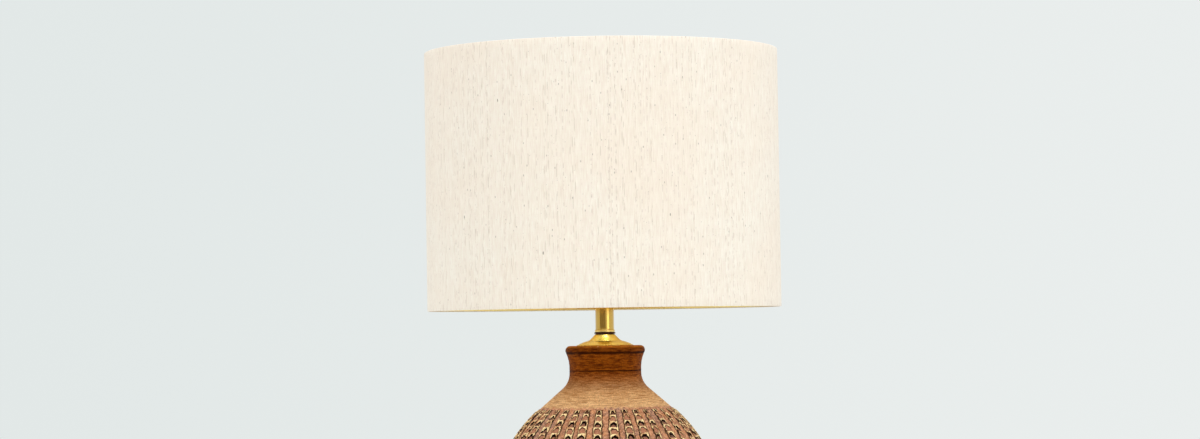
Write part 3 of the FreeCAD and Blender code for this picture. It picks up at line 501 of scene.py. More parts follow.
def weave_effect() -> Effect:
    """Threads that cross, over a surface measured in metres, each with its own thick and thin places.

    Returns:
        The effect, with outputs Height, then Upright and Level, a tone for each thread from 0 to 1, and
        Slub, the rare thick places of the upright threads.
    """
    effect = Effect("Weave", {"Pitch": 1800.0, "Evenness": 30.0, "Seed": 0.0},
                    ("Height", "Upright", "Level", "Slub"))
    given = effect.given
    x, y, _ = effect.parts(given["Point"])
    sway = effect.add("TexNoise", {"Vector": given["Point"], "Scale": 14.0, "Detail": 1.0})[0]
    ridges = []
    for label, across, along, shift in (("Upright", x, y, 0.0), ("Level", y, x, 57.0)):
        lane = across * given["Pitch"] + sway * 0.12
        number = lane.by("FLOOR") + (given["Seed"] + shift)
        chance = effect.add("TexWhiteNoise", {"W": number}, noise_dimensions="1D")[0]
        course = along * given["Evenness"] + chance * 900.0
        tone = effect.add("TexNoise", {"W": course, "Scale": 1.0, "Detail": 2.0, "Roughness": 0.5},
                          noise_dimensions="1D")[0]
        effect.give(label, tone.spread(0.35, 0.7) * (chance * 0.6 + 0.4))
        ridges.append((lane * math.pi).by("SINE").by("ABSOLUTE") * (tone * 0.8 + 0.5))
        if label == "Upright":
            effect.give("Slub", tone.spread(0.50, 0.62) * chance.spread(0.84, 0.95))
    effect.give("Height", ridges[0].by("MAXIMUM", ridges[1]))
    return effect


@dataclass(frozen=True)
class Effects:
    """The effects that the finishes share."""

    grain: Effect = field(default_factory=grain_effect)
    turning: Effect = field(default_factory=turning_effect)
    specks: Effect = field(default_factory=speck_effect)
    weave: Effect = field(default_factory=weave_effect)


class Surface(Graph):
    """A new material with its shader and the places that its nodes start from."""

    def __init__(self, name: str, **plain: object) -> None:
        """Makes the material and sets what is the same all over it.

        Args:
            name: The material's name.
            plain: Values of the shader's own sockets, with underscores for blanks.
        """
        self.material = bpy.data.materials.new(name)
        self.material.use_nodes = True
        super().__init__(self.material.node_tree)
        self.shader = Placed(self, self.tree.nodes["Principled BSDF"])
        self.feed(**plain)
        places = self.add("TexCoord")
        self.point, self.cloth = places["Object"], places["UV"]

    def feed(self, **inputs: object) -> None:
        """Fills the shader's sockets, with underscores for blanks."""
        self.fill(self.shader.node, {label.replace("_", " "): value for label, value in inputs.items()})

    def bump(self, height: Mark, depth: float, strength: float, under: Optional[Mark] = None) -> Mark:
        """A normal that stands for a fine relief.

        Args:
            height: The relief, 0 to 1.
            depth: Its full depth.
            strength: How much of it shows.
            under: Another normal that this one lies on.

        Returns:
            The normal.
        """
        lower = {} if under is None else {"Normal": under}
        normal = self.add("Bump", {"Height": height, "Distance": depth, "Strength": strength} | lower)[0]
        self.feed(Normal=normal)
        return normal


# Finishes


@dataclass(frozen=True)
class Metal:
    """A turned or pressed metal with lathe lines, handling marks and tarnish."""

    name: str
    bright: Colour
    dull: Colour
    roughness: float = 0.2
    tarnish: float = 0.2
    lacquer: float = 0.0
    line_depth: float = 0.0000015
    line_density: float = 2600.0

    def build(self, effects: Effects) -> bpy.types.Material:
        """Builds the material from the shared effects."""
        surface = Surface(self.name, Metallic=1.0, Roughness=self.roughness, Base_Color=self.bright,
                          Coat_Weight=self.lacquer, Coat_Roughness=0.06)
        grain = effects.grain.on(surface.point, broad_scale=55.0, fine_scale=700.0)
        lines = effects.turning.on(surface.point, density=self.line_density, wander=1.2)
        specks = effects.specks.on(surface.point, scale=420.0, size=0.2, share=0.02)
        stain = (grain["Broad"] * self.tarnish + specks["Spot"] * self.tarnish).clamped()
        colour = surface.mix(stain, self.bright, self.dull)
        edge = surface.add("NewGeometry")["Pointiness"].spread(0.53, 0.62)
        colour = surface.mix(edge * grain["Fine"], colour, self.bright)
        wear = grain["Broad"] * 0.10 + lines["Streak"] * (self.tarnish * 0.3)
        surface.feed(Base_Color=colour, Roughness=(wear + (self.roughness - 0.04)).clamped())
        surface.bump(lines["Line"], self.line_depth, 0.6)
        return surface.material


@dataclass(frozen=True)
class Moulded:
    """A hard moulded or fired insulator, or a blackened part, with a fine skin and light handling."""

    name: str
    colour: Colour
    second: Colour
    roughness: float
    coat: float = 0.0
    skin_depth: float = 0.00002
    skin_scale: float = 1400.0

    def build(self, effects: Effects) -> bpy.types.Material:
        """Builds the material from the shared effects."""
        surface = Surface(self.name, Roughness=self.roughness, Base_Color=self.colour, Coat_Weight=self.coat,
                          Coat_Roughness=0.15)
        grain = effects.grain.on(surface.point, broad_scale=90.0, fine_scale=self.skin_scale)
        specks = effects.specks.on(surface.point, scale=500.0, size=0.28, share=0.08)
        share = (grain["Broad"] * 0.6 + specks["Spot"] * 0.4).clamped()
        surface.feed(Base_Color=surface.mix(share, self.colour, self.second),
                     Roughness=grain["Broad"] * 0.12 + (self.roughness - 0.05))
        surface.bump(grain["Fine"], self.skin_depth, 0.6)
        return surface.material


@dataclass(frozen=True)
class Fibrous:
    """Felt, card, rubber or pressed fibre: matt, with short fibres or a pressed grain."""

    name: str
    colour: Colour
    second: Colour
    fibre_scale: float
    fibre_depth: float
    sheen: float

    def build(self, effects: Effects) -> bpy.types.Material:
        """Builds the material from the shared effects."""
        surface = Surface(self.name, Roughness=0.92, Base_Color=self.colour, Sheen_Weight=self.sheen,
                          Sheen_Roughness=0.5)
        grain = effects.grain.on(surface.point, broad_scale=70.0, fine_scale=self.fibre_scale)
        hairs = surface.add("TexNoise", {"Vector": surface.point, "Scale": self.fibre_scale / 3.0,
                                         "Detail": 4.0, "Distortion": 2.5})[0]
        tuft = grain["Fine"] * hairs.spread(0.35, 0.65)
        share = (grain["Broad"] * 0.4 + tuft * 0.6).clamped()
        surface.feed(Base_Color=surface.mix(share, self.colour, self.second))
        surface.bump(tuft, self.fibre_depth, 0.8)
        return surface.material


@dataclass(frozen=True)
class Arch:
    """An arch in one cell of the carving, in shares of the cell's height and the strip's half width."""

    middle: float
    width: float
    height: float
    soft: float


@dataclass(frozen=True)
class Carving:
    """Where the marks of the carved band lie, each from 0 to 1."""

    deep: Mark
    pocket: Mark
    # Dark oxide in the upper part of each pocket, with painted shade there under the arch.
    stain: Mark
    # Painted shadow: a thin dark line beside each raised strip.
    beside: Mark
    rim: Mark


@dataclass(frozen=True)
class Stoneware:
    """Unglazed stoneware: dark and smooth at the neck, sandy at the shoulder, stained and painted with shade
    in the carving.
    """

    name: str = "stoneware"
    # The lip's top edge: worn clay with a painted highlight.
    worn_and_highlit_edge: Colour = tint(206, 128, 44)
    lip: Colour = tint(86, 34, 2)
    neck: Colour = tint(126, 60, 4)
    neck_line: Colour = tint(70, 22, 0)
    neck_dark: Colour = tint(44, 12, 0)
    neck_end: Colour = tint(158, 86, 18)
    slope: Colour = tint(144, 92, 48)
    # The shoulder pales lower down: partly the clay's own colour, partly painted light falling on the
    # shoulder.
    shoulder: Colour = tint(188, 138, 86)
    shoulder_end: Colour = tint(222, 181, 132)
    shoulder_pale: Colour = tint(236, 196, 146)
    ground: Colour = tint(182, 130, 104)
    ground_warm: Colour = tint(214, 144, 98)
    ground_ash: Colour = tint(148, 126, 118)
    ground_dark: Colour = tint(96, 66, 60)
    ground_pale: Colour = tint(216, 164, 130)
    rim: Colour = tint(255, 228, 172)
    rim_dull: Colour = tint(198, 150, 106)
    floor: Colour = tint(164, 112, 84)
    deep_floor: Colour = tint(106, 82, 76)
    # Near black, for the dark oxide and painted shade in the pockets and the painted shadow beside the
    # strips.
    stain: Colour = tint(22, 10, 8)
    speck: Colour = tint(84, 42, 20)
    bare_foot: Colour = tint(204, 160, 114)
    lip_height: float = 0.3625
    band_top: float = 0.2945
    # The upper dark ring is painted shade under the lip's bulge; the lower is a dark line round the neck.
    dark_rings: tuple[Point, Point] = ((0.0076, 0.0019), (0.0268, 0.0013))
    arch_power: float = 2.6
    deep_pocket: Arch = Arch(0.52, 0.82, 0.41, 0.04)
    shallow_pocket: Arch = Arch(0.42, 0.83, 0.34, 0.05)
    deep_light: Arch = Arch(0.88, 0.52, 0.47, 0.06)
    shallow_light: Arch = Arch(0.54, 0.70, 0.34, 0.08)

    def _neck_colour(self, surface: Surface, effects: Effects, height: Mark) -> Mark:
        """The colour from the lip to the shoulder, with its streaks, its grain and two dark rings: painted
        shade under the lip, and a dark line lower on the neck.
        """
        drift = surface.add("TexNoise", {"Vector": surface.point, "Scale": 26.0, "Detail": 5.0})[0]
        below = (self.lip_height - height) + (drift - 0.5) * 0.002
        stops = (
            # The lip's top edge takes the worn clay and painted highlight colour.
            (0.000, self.worn_and_highlit_edge), (0.0010, self.worn_and_highlit_edge), (0.0026, self.lip), (0.0086, self.lip),
            (0.0106, self.neck), (0.031, self.neck), (0.035, self.neck_end), (0.043, self.slope),
            # The paler shoulder end is partly the clay's colour and partly painted light.
            (0.050, self.shoulder), (0.062, self.shoulder_end), (0.090, self.shoulder_end),
        )
        reach = stops[-1][0]
        ramp = surface.add("ValToRGB", {0: below / reach})
        elements = ramp.node.color_ramp.elements
        for _ in stops[2:]:
            elements.new(0.5)
        for element, (distance, colour) in zip(elements, stops):
            element.position, element.color = distance / reach, (*colour, 1.0)
        fine = effects.turning.on(surface.point, density=900.0, wander=4.6)["Line"]
        broad = effects.turning.on(surface.point, density=520.0, wander=1.6)
        on_neck = below.spread(0.056, 0.026)
        darker = surface.mix(on_neck, self.slope, self.neck_line)
        paler = surface.mix(on_neck, self.shoulder_pale, self.neck_end)
        colour = surface.mix(broad["Streak"] * 0.55, ramp[0], darker)
        colour = surface.mix((1.0 - fine) * 0.72, colour, darker)
        colour = surface.mix(fine * 0.55, colour, paler)
        # upper: painted shade under the lip; lower: the dark line lower on the neck.
        upper, lower = ((below - at).by("ABSOLUTE").spread(wide, 0.3 * wide) for at, wide in self.dark_rings)
        uneven = broad["Line"].spread(0.0, 0.7, 0.55, 0.95)
        return surface.mix(upper.by("MAXIMUM", lower) * uneven, colour, self.neck_dark)

    def _carving(self, surface: Surface, ragged: Sequence[Mark]) -> Carving:
        """Where the rims, pockets, pocket floors and stains of the carved band lie, with its painted shade
        and shadow.

        Args:
            surface: The material.
            ragged: Two kinds of unevenness from -0.5 to 0.5.

        Returns:
            The marks.
        """
        across, down, deep = (surface.measure(label) for label in ("across", "down", "deep"))
        side = across + ragged[0] * 0.30
        place = (down + ragged[1] * 0.16).by("FRACT")
        shallow = 1.0 - deep

        def inside(arch: Arch) -> Mark:
            """Where a place lies under an arch: 1 inside, 0 outside."""
            rise = ((arch.middle - place) / arch.height).by("MAXIMUM", 0.0)
            wide = side.by("MAXIMUM", 0.0) / arch.width
            reach = (wide ** self.arch_power + rise ** self.arch_power) ** (1.0 / self.arch_power)
            return reach.spread(1.0 + arch.soft, 1.0 - arch.soft)

        def chosen(first: Mark, second: Mark) -> Mark:
            """The first where the pocket is deep, the second where it is shallow."""
            return first * deep + second * shallow

        end = chosen(place.spread(1.02, 0.98), place.spread(0.98, 0.90))
        pocket = chosen(inside(self.deep_pocket), inside(self.shallow_pocket)) * end
        lit = chosen(inside(self.deep_light), inside(self.shallow_light)) * down.spread(0.9, 1.2, 0.45, 1.0)
        fading = chosen(place.spread(1.08, 0.94), place.spread(0.9, 0.5) * 0.9)
        strip = side.spread(0.99, 0.89)
        # stain is dark oxide with painted shade, kept out of the lit part of each pocket; beside is painted
        # shadow next to each strip.
        return Carving(deep=deep, pocket=pocket, stain=pocket * ((1.0 - lit) * fading),
                       beside=(1.0 - strip) * side.spread(1.50, 1.10), rim=strip * (1.0 - pocket))

    def build(self, effects: Effects) -> bpy.types.Material:
        """Builds the material from the shared effects and the vase's own measures of its carving."""
        surface = Surface(self.name, Roughness=0.7, Base_Color=self.shoulder, Specular_IOR_Level=0.02)
        point, mix = surface.point, surface.mix
        grain = effects.grain.on(point, broad_scale=38.0, fine_scale=950.0)
        sand = effects.grain.on(point, broad_scale=260.0, fine_scale=780.0, seed=3.0)
        chips = effects.grain.on(point, broad_scale=330.0, fine_scale=130.0, seed=9.0)
        mottle = effects.grain.on(point, broad_scale=230.0, fine_scale=430.0, seed=21.0)
        ragged = [noise["Broad"] - 0.5 for noise in (sand, chips)]
        marks = self._carving(surface, ragged)
        band, foot = surface.measure("band"), surface.measure("foot")
        height = surface.parts(point)[2]

        ground = mix(chips["Fine"], self.ground, self.ground_warm)
        ground = mix(sand["Broad"] * 0.30, ground, self.rim_dull)
        ground = mix(grain["Broad"].spread(0.45, 0.8, 0.0, 0.6), ground, self.ground_ash)
        ground = mix(mottle["Broad"] * 0.68, ground, self.ground_dark)
        ground = mix(mottle["Fine"].spread(0.35, 0.9) * 0.75, ground, self.ground_pale)

        above = (height.spread(self.band_top + 0.0046, self.band_top + 0.0004)
                 * height.spread(self.band_top - 0.03, self.band_top - 0.02))
        edge = band.by("MAXIMUM", above) + (ragged[1] * 0.8 + ragged[0] * 0.5)
        near = height.spread(self.band_top + 0.010, self.band_top + 0.005)
        colour = mix(edge.spread(0.2, 0.8) * near, self._neck_colour(surface, effects, height), ground)

        on_band = band.spread(0.3, 0.6)
        rim = mix(chips["Fine"].spread(0.3, 1.0), self.rim, self.rim_dull)
        floor = mix(marks.deep, mix(sand["Broad"], self.floor, self.ground),
                    mix(chips["Broad"], self.deep_floor, self.floor))
        # Painted shadow beside each strip, in the stain colour.
        colour = mix(marks.beside * 0.88 * on_band, colour, self.stain)
        colour = mix(marks.rim * on_band, colour, rim)
        colour = mix(marks.pocket * on_band, colour, floor)
        # Dark oxide and painted shade in each pocket, under its arch.
        colour = mix(marks.stain * on_band, colour, self.stain)
        colour = mix(foot, colour, self.bare_foot)

        chipped = effects.specks.on(point, scale=260.0, size=0.24, share=0.045)["Spot"]
        at_lip = height.spread(self.lip_height - 0.006, self.lip_height - 0.004) * chipped
        colour = mix(at_lip * 0.8, colour, self.rim)
        specks = effects.specks.on(point, scale=420.0, size=0.34, share=0.10)["Spot"]
        colour = mix(specks * 0.40, colour, self.speck)
        light = (grain["Fine"] * 0.40 + sand["Fine"] * 0.42) + 0.62
        colour = mix(1.0, colour, surface.add("CombineColor", {0: light, 1: light, 2: light})[0], Way.TIMES)

        rough = band.spread(0.0, 0.6, 0.50, 0.78) + grain["Broad"] * 0.12
        surface.feed(Base_Color=colour, Roughness=rough)
        coarse = surface.bump(sand["Broad"], 0.0004, 0.5)
        surface.bump(grain["Fine"], 0.00022, 0.55, coarse)
        return surface.material


@dataclass(frozen=True)
class Flecks:
    """One size of the bark flecks in the linen."""

    scale: float
    size: float
    share: float
    depth: float
    slim: float


@dataclass(frozen=True)
class Linen:
    """Natural linen: uneven upright threads, finer level ones, and dark flecks of bark."""

    name: str = "linen"
    cloth: Colour = tint(255, 252, 240)
    warm: Colour = tint(255, 245, 229)
    thread: Colour = tint(234, 220, 202)
    rosy: Colour = tint(246, 228, 220)
    fleck: Colour = tint(112, 98, 86)
    grey: Colour = tint(200, 189, 172)
    pitch: float = 1900.0
    coarse_pitch: float = 1180.0
    other_pitch: float = 908.6
    flecks: tuple[Flecks, ...] = (
        Flecks(230.0, 0.17, 0.20, 0.45, 0.5),
        Flecks(120.0, 0.11, 0.10, 0.70, 0.42),
        Flecks(340.0, 0.20, 0.14, 0.35, 1.0),
    )

    def build(self, effects: Effects) -> bpy.types.Material:
        """Builds the material on the cloth's own measure, in metres across and up."""
        surface = Surface(self.name, Roughness=0.95, Base_Color=self.cloth, Sheen_Weight=0.15,
                          Sheen_Roughness=0.6, Specular_IOR_Level=0.2)
        fine = effects.weave.on(surface.cloth, pitch=self.pitch, evenness=36.0)
        coarse = effects.weave.on(surface.cloth, pitch=self.coarse_pitch, evenness=64.0, seed=300.0)
        other = effects.weave.on(surface.cloth, pitch=self.other_pitch, evenness=130.0, seed=700.0)
        patches = effects.grain.on(surface.cloth, broad_scale=8.0, fine_scale=60.0, seed=5.0)
        colour = surface.mix(patches["Broad"] * 0.8, self.cloth, self.warm)
        layers = (
            (coarse, "Upright", 0.44, self.thread), (fine, "Upright", 0.62, self.thread),
            (other, "Upright", 0.35, self.rosy), (fine, "Level", 0.10, self.thread),
            (coarse, "Slub", 0.36, self.grey), (other, "Slub", 0.34, self.grey),
        )
        for weave, label, depth, shade in layers:
            colour = surface.mix(weave[label] * depth, colour, shade)
        for kind in self.flecks:
            place = surface.add("Mapping", {"Vector": surface.cloth, "Scale": (1.0, kind.slim, 1.0)})[0]
            spot = effects.specks.on(place, scale=kind.scale, size=kind.size, share=kind.share)["Spot"]
            colour = surface.mix(spot * kind.depth, colour, self.fleck)
        surface.feed(Base_Color=colour)
        surface.bump(fine["Height"], 0.00016, 0.5)
        return surface.material


@dataclass(frozen=True)
class Foil:
    """Gold foil laid on card: bright, with soft creases, fine brushed grain and painted shade at the lower
    edge.
    """

    name: str = "gold_lining"
    bright: Colour = tint(252, 232, 184)
    dull: Colour = tint(236, 206, 148)
    # Dark brown for the lowest band of the lining: painted shade along the lower edge, by the ring.
    edge: Colour = tint(132, 98, 48)
    lower_edge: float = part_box("shade_lining")[0].z

    def build(self, effects: Effects) -> bpy.types.Material:
        """Builds the material from the shared effects."""
        surface = Surface(self.name, Metallic=0.45, Roughness=0.38, Base_Color=self.bright)
        grain = effects.grain.on(surface.point, broad_scale=16.0, fine_scale=160.0)
        lines = effects.turning.on(surface.point, density=420.0, wander=1.4)
        colour = surface.mix(grain["Broad"] * 0.5, self.bright, self.dull)
        height = surface.parts(surface.point)[2]
        # Painted shade: the lining darkens in its lowest two millimetres.
        hem = height.spread(self.lower_edge + 0.0022, self.lower_edge + 0.0008, 0.0, 0.85)
        surface.feed(Base_Color=surface.mix(hem, colour, self.edge), Roughness=lines["Line"] * 0.12 + 0.28)
        creases = surface.bump(grain["Broad"], 0.0012, 0.35)
        surface.bump(grain["Fine"], 0.0001, 0.4, creases)
        return surface.material


@dataclass(frozen=True)
class FrostedGlass:
    """The bulb's glass, frosted white inside."""

    name: str = "frosted_glass"
    colour: Colour = tint(246, 246, 242)
    second: Colour = tint(232, 232, 226)

    def build(self, effects: Effects) -> bpy.types.Material:
        """Builds the material from the shared effects."""
        surface = Surface(self.name, Roughness=0.22, Base_Color=self.colour, Coat_Weight=0.6,
                          Coat_Roughness=0.05, Subsurface_Weight=0.35, Subsurface_Scale=0.01)
        grain = effects.grain.on(surface.point, broad_scale=60.0, fine_scale=1500.0)
        surface.feed(Base_Color=surface.mix(grain["Broad"] * 0.35, self.colour, self.second),
                     Roughness=grain["Fine"] * 0.12 + 0.18)
        surface.bump(grain["Fine"], 0.00001, 0.5)
        return surface.material


def all_finishes() -> dict[str, bpy.types.Material]:
    """Builds the shared effects and every finish of the lamp.

    Returns:
        The materials by name.
    """
    effects = Effects()
    recipes = (
        Stoneware(), Linen(), Foil(), FrostedGlass(),
        Metal("polished_brass", tint(250, 222, 140), tint(234, 194, 108), 0.26),
        Metal("spun_brass", tint(255, 228, 108), tint(252, 190, 64), 0.27, tarnish=0.4, lacquer=0.6),
        Metal("antique_brass", tint(214, 172, 70), tint(196, 148, 58), 0.13, tarnish=0.3, lacquer=1.0),
        Metal("contact_brass", tint(208, 176, 104), tint(160, 122, 62), 0.32),
        Metal("zinc_steel", tint(186, 186, 180), tint(134, 132, 124), 0.34, tarnish=0.5),
        Metal("aluminium", tint(206, 208, 208), tint(166, 168, 168), 0.28),
        Moulded("black_glass", tint(22, 21, 24), tint(40, 36, 44), 0.12, coat=0.5),
        Moulded("porcelain", tint(238, 234, 224), tint(224, 216, 200), 0.25, coat=0.6),
        Moulded("bakelite", tint(38, 24, 18), tint(60, 36, 26), 0.3, coat=0.3),
        Moulded("black_nylon", tint(24, 24, 25), tint(38, 38, 40), 0.5),
        Fibrous("fibre", tint(50, 20, 10), tint(82, 36, 18), 1600.0, 0.00004, 0.1),
        Fibrous("card", tint(176, 158, 128), tint(148, 128, 98), 1200.0, 0.00006, 0.1),
        Fibrous("rubber", tint(34, 33, 32), tint(52, 50, 48), 900.0, 0.00005, 0.1),
        Fibrous("felt", tint(58, 76, 56), tint(88, 106, 80), 2200.0, 0.0003, 0.6),
    )
    return {recipe.name: recipe.build(effects) for recipe in recipes}


@dataclass
class Assembly:
    """A sub-assembly of the lamp, with the finishes that its pieces take."""

    finishes: dict[str, bpy.types.Material]

    def build(self) -> None:
        """Builds and seats the pieces, in each sub-assembly's own way."""
        raise NotImplementedError

    def seat(self, piece: bpy.types.Object, body: str, node: str, finish: str, slot: str = "") -> None:
        """Dresses a piece and fixes it to the body that carries it, in place of a node.

        Args:
            piece: The piece.
            body: The body that it moves with.
            node: The node that it stands for.
            finish: The name of its finish.
            slot: The record's slot that the finish stands for, where that has another name. It is not used.
        """
        piece.data.materials.clear()
        piece.data.materials.append(self.finishes[finish])
        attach(piece, body)
        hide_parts(node)
        log.info("%s: %d faces, on %s", piece.name, len(piece.data.polygons), body)

    def dress(self, finish: str, *nodes: str) -> None:
        """Gives a finish to nodes that keep their own shape.

        Args:
            finish: The name of the finish.
            nodes: The nodes' names.
        """
        for node in nodes:
            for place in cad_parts[node].material_slots:
                place.link = "OBJECT"
                place.material = self.finishes[finish]
            log.info("%s: %s", node, finish)


# The vase


@dataclass
class CarvedColumn:
    """One raised strip of the carved band, as the potter's hand placed it."""

    angle: float
    half_width: float
    start: float
    narrow: bool
    phase: int


@dataclass
class Vase(Assembly):
    """The thrown and carved stoneware vase."""

    lift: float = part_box("foot_felt")[1].z
    base_height: float = 0.360
    foot_radius: float = 0.078
    foot_round: float = 0.0015
    foot_wall: float = 0.012
    foot_ring_height: float = 0.016
    foot_recess_depth: float = 0.014
    floor_thickness: float = 0.010
    wall: float = 0.008
    belly_radius: float = 0.125
    shoulder_angle: float = 49.0
    shoulder_slope: float = 0.034
    neck_radius: float = 0.0386
    neck_sweep: float = 0.022
    neck_straight: float = 0.0051
    lip_flare: float = 0.0042
    lip_round: float = 0.005
    lip_undercut: float = 25.0
    mouth_depth: float = 0.010
    mouth_radius: float = 0.026
    mouth_ease: float = 0.0008
    pipe_hole: float = 0.006
    band_end_height: float = 0.044
    columns: int = 36
    cell_length: float = 0.0087
    arch_share: float = 0.36
    tip_share: float = 0.60
    band_rise: float = 0.0022
    strip_share: float = 0.53
    ground_depth: float = 0.00025
    relief: float = 0.0012
    deep_cut: float = 0.0015
    shallow_cut: float = 0.0007
    seed: int = 17
    narrow_chance: float = 0.25
    shift_chance: float = 0.22
    narrow_widths: Point = (0.64, 0.78)
    full_widths: Point = (0.94, 1.16)
    starts: Point = (-0.0016, 0.0020)
    lean: float = 0.9
    late: Point = (-0.07, 0.07)
    sway: Point = (-0.10, 0.10)
    swell: Point = (0.90, 1.08)
    pocket_width: float = 0.76
    narrow_gain: float = 1.15
    across: tuple[float, ...] = (-1.0, -0.91, -0.82, -0.68, -0.34, 0.0, 0.34, 0.68, 0.82, 0.91, 1.0)
    down: tuple[float, ...] = (0.0, 0.13, 0.19, 0.40, 0.62, 0.84)
    measured: tuple[str, ...] = ("across", "down", "deep", "band", "foot")
    spiral_rise: float = 0.0028
    ridges: tuple[Wave, ...] = ((2300.0, 1.0, 0.0), (3910.0, 0.7, 1.3), (1270.0, 0.6, 0.4))
    upper_tremble: float = 0.00013
    lower_tremble: float = 0.00012
    rings_to_even: float = 12.0
    rings_to_tremble: float = 6.0

    def __post_init__(self) -> None:
        """Works out the outline's joints and the length of the band along the wall."""
        bend, lower = math.radians(self.shoulder_angle), math.radians(self.lip_undercut)
        centre = (self.neck_radius + self.lip_flare - self.lip_round, self.base_height - self.lip_round)
        lip_end = (centre[0] + self.lip_round * math.cos(lower),
                   centre[1] - self.lip_round * math.sin(lower))
        lip_sweep = (lip_end[0] - self.neck_radius) / (1 - math.cos(lower))
        lip_foot = lip_end[1] - lip_sweep * math.sin(lower)
        self.neck_foot = lip_foot - self.neck_straight
        neck_end = (self.neck_radius + self.neck_sweep * (1 - math.cos(bend)),
                    self.neck_foot - self.neck_sweep * math.sin(bend))
        self.shoulder = (neck_end[0] + self.shoulder_slope * math.sin(bend),
                         neck_end[1] - self.shoulder_slope * math.cos(bend))
        self.belly_sweep = (self.belly_radius - self.shoulder[0]) / (1 - math.cos(bend))
        self.belly_height = self.shoulder[1] - self.belly_sweep * math.sin(bend)
        fall, narrowing = self.belly_height - self.foot_ring_height, self.belly_radius - self.foot_radius
        self.lower_sweep = (fall * fall + narrowing * narrowing) / (2 * narrowing)
        self.bend = bend
        drop = math.asin((self.belly_height - self.band_end_height) / self.lower_sweep)
        self.band_length = self.belly_sweep * bend + self.lower_sweep * drop
        self.to_shoulder = (
            Outline(centre[0], self.base_height)
            .arc(*lip_end, -self.lip_round, 10)
            .arc(self.neck_radius, lip_foot, lip_sweep, 14)
            .line(self.neck_radius, self.neck_foot, 8)
            .arc(*neck_end, self.neck_sweep, 20)
            .line(*self.shoulder, 32)
        ).points

    def _off_wall(self, travel: Share, lift: Share) -> tuple[np.ndarray, np.ndarray]:
        """Places a little way out of the wall below the shoulder.

        Args:
            travel: Distances along the wall from the band's upper end.
            lift: How far they stand out of the wall, square to it.

        Returns:
            Their radius and their height.
        """
        upper = self.belly_sweep * self.bend
        above = travel <= upper
        angle = np.where(above, self.bend - travel / self.belly_sweep, (upper - travel) / self.lower_sweep)
        sweep = np.where(above, self.belly_sweep, self.lower_sweep)
        return (self.belly_radius - sweep * (1 - np.cos(angle)) + lift * np.cos(angle),
                self.belly_height + sweep * np.sin(angle) + lift * np.sin(angle))

    def _columns(self) -> list[CarvedColumn]:
        """Places the columns with the unevenness of handwork."""
        draw = np.random.default_rng(self.seed)
        pitch = FULL_TURN / self.columns
        half = pitch * self.strip_share / 2.0
        placed = []
        for index in range(self.columns):
            narrow = bool(draw.random() < self.narrow_chance)
            width = half * draw.uniform(*(self.narrow_widths if narrow else self.full_widths))
            angle = (index + 0.5) * pitch + math.radians(draw.uniform(-self.lean, self.lean))
            start = draw.uniform(*self.starts)
            shifted = int(draw.random() < self.shift_chance)
            placed.append(CarvedColumn(angle, width, start, narrow, shifted))
        return placed

    def _cell_height(self, u: np.ndarray, v: float, deep: bool, narrow: bool) -> np.ndarray:
        """Height over the wall of one line of a strip's cell.

        Args:
            u: Places across the strip, -1 to 1.
            v: Place down the cell, 0 to 1, along lines that follow the cell's arched upper edge.
            deep: Whether the tool went in deep.
            narrow: Whether the strip is a narrow one.

        Returns:
            The height at each place.
        """
        aside = np.abs(u)
        width = self.pocket_width - 0.14 * smooth_step(0.40, 0.14, v) - 0.08 * smooth_step(0.6, 0.9, v)
        side = smooth_step(width + 0.08, width - 0.08, aside)
        cut = smooth_step(0.11, 0.20, v) * (1.0 - smooth_step(0.20, 0.95, v)) ** (0.8 if deep else 0.6)
        depth = (self.deep_cut if deep else self.shallow_cut) * (self.narrow_gain if deep and narrow else 1)
        crown = smooth_step(1.0, 0.92, aside) * (0.80 + 0.20 * smooth_step(0.7, 0.90, aside))
        return self.relief * crown - depth * side * cut

    def _band(self) -> Rings:
        """The rings of the carved band.

        Returns:
            Each ring's points, and each ring's measures of the carving.
        """
        placed, cells = self._columns(), int(self.band_length / self.cell_length)
        draw = np.random.default_rng(self.seed + 1)
        late, sway, swell = (draw.uniform(low, high, (cells + 1, self.columns))
                             for low, high in (self.late, self.sway, self.swell))
        u = np.array(self.across)
        group = len(u) + 1
        count = group * self.columns
        rings, measures = [], []
        for cell, v in ((cell, v) for cell in range(cells) for v in self.down):
            row = cell + v
            follow = np.interp(v, (0.0, 0.13, 0.19, 0.40, 0.84, 1.0), (0.0, 1.0, 1.0, 0.7, 0.1, 0.0))
            arch = self.arch_share + self.tip_share * max(0.0, 1.0 - row / 1.5)
            tip = 0.72 + 0.28 * smooth_step(-0.4, 3.0, row)
            fade = smooth_step(-0.2, 0.35, row) * smooth_step(cells, cells - 0.6, row)
            ground = self._off_wall(row * self.cell_length, -self.ground_depth * fade)
            points, deeps = [], []
            for index, column in enumerate(placed):
                wide, shift = (np.interp(row, (cell, cell + 1.0), table[cell:cell + 2, index])
                               for table in (swell, sway))
                travel = row * self.cell_length + (column.start - self.band_rise) * (1.0 - row / cells)
                travel = travel + follow * self.cell_length * (arch * np.abs(u) ** 3 + late[cell, index])
                deep = (cell + column.phase) % 2 == 0
                radius, height = self._off_wall(np.clip(travel, 0.0, self.band_length),
                                                self._cell_height(u, v, deep, column.narrow) * fade)
                angles = column.angle + (shift + u * tip * wide) * column.half_width
                beside = placed[(index + 1) % self.columns]
                gap_end = beside.angle - beside.half_width * tip
                gap_end += FULL_TURN if index == self.columns - 1 else 0.0
                angles = np.append(angles, (angles[-1] + gap_end) / 2.0)
                radius, height = np.append(radius, ground[0]), np.append(height, ground[1])
                points.append(round_axis(radius, angles, height))
                deeps.append(float(deep))
            rings.append(np.concatenate(points))
            measures.append(self._marks(
                count, across=np.tile([*np.abs(u), 2.0], self.columns), down=row,
                deep=np.repeat(deeps, group), band=smooth_step(-0.3, 0.1, row)))
        return rings, measures

    def _marks(self, count: int, **given: Share) -> Measures:
        """A ring's measures of the carving, with those that aren't given at zero."""
        return {label: np.broadcast_to(given.get(label, 0.0), count) for label in self.measured}

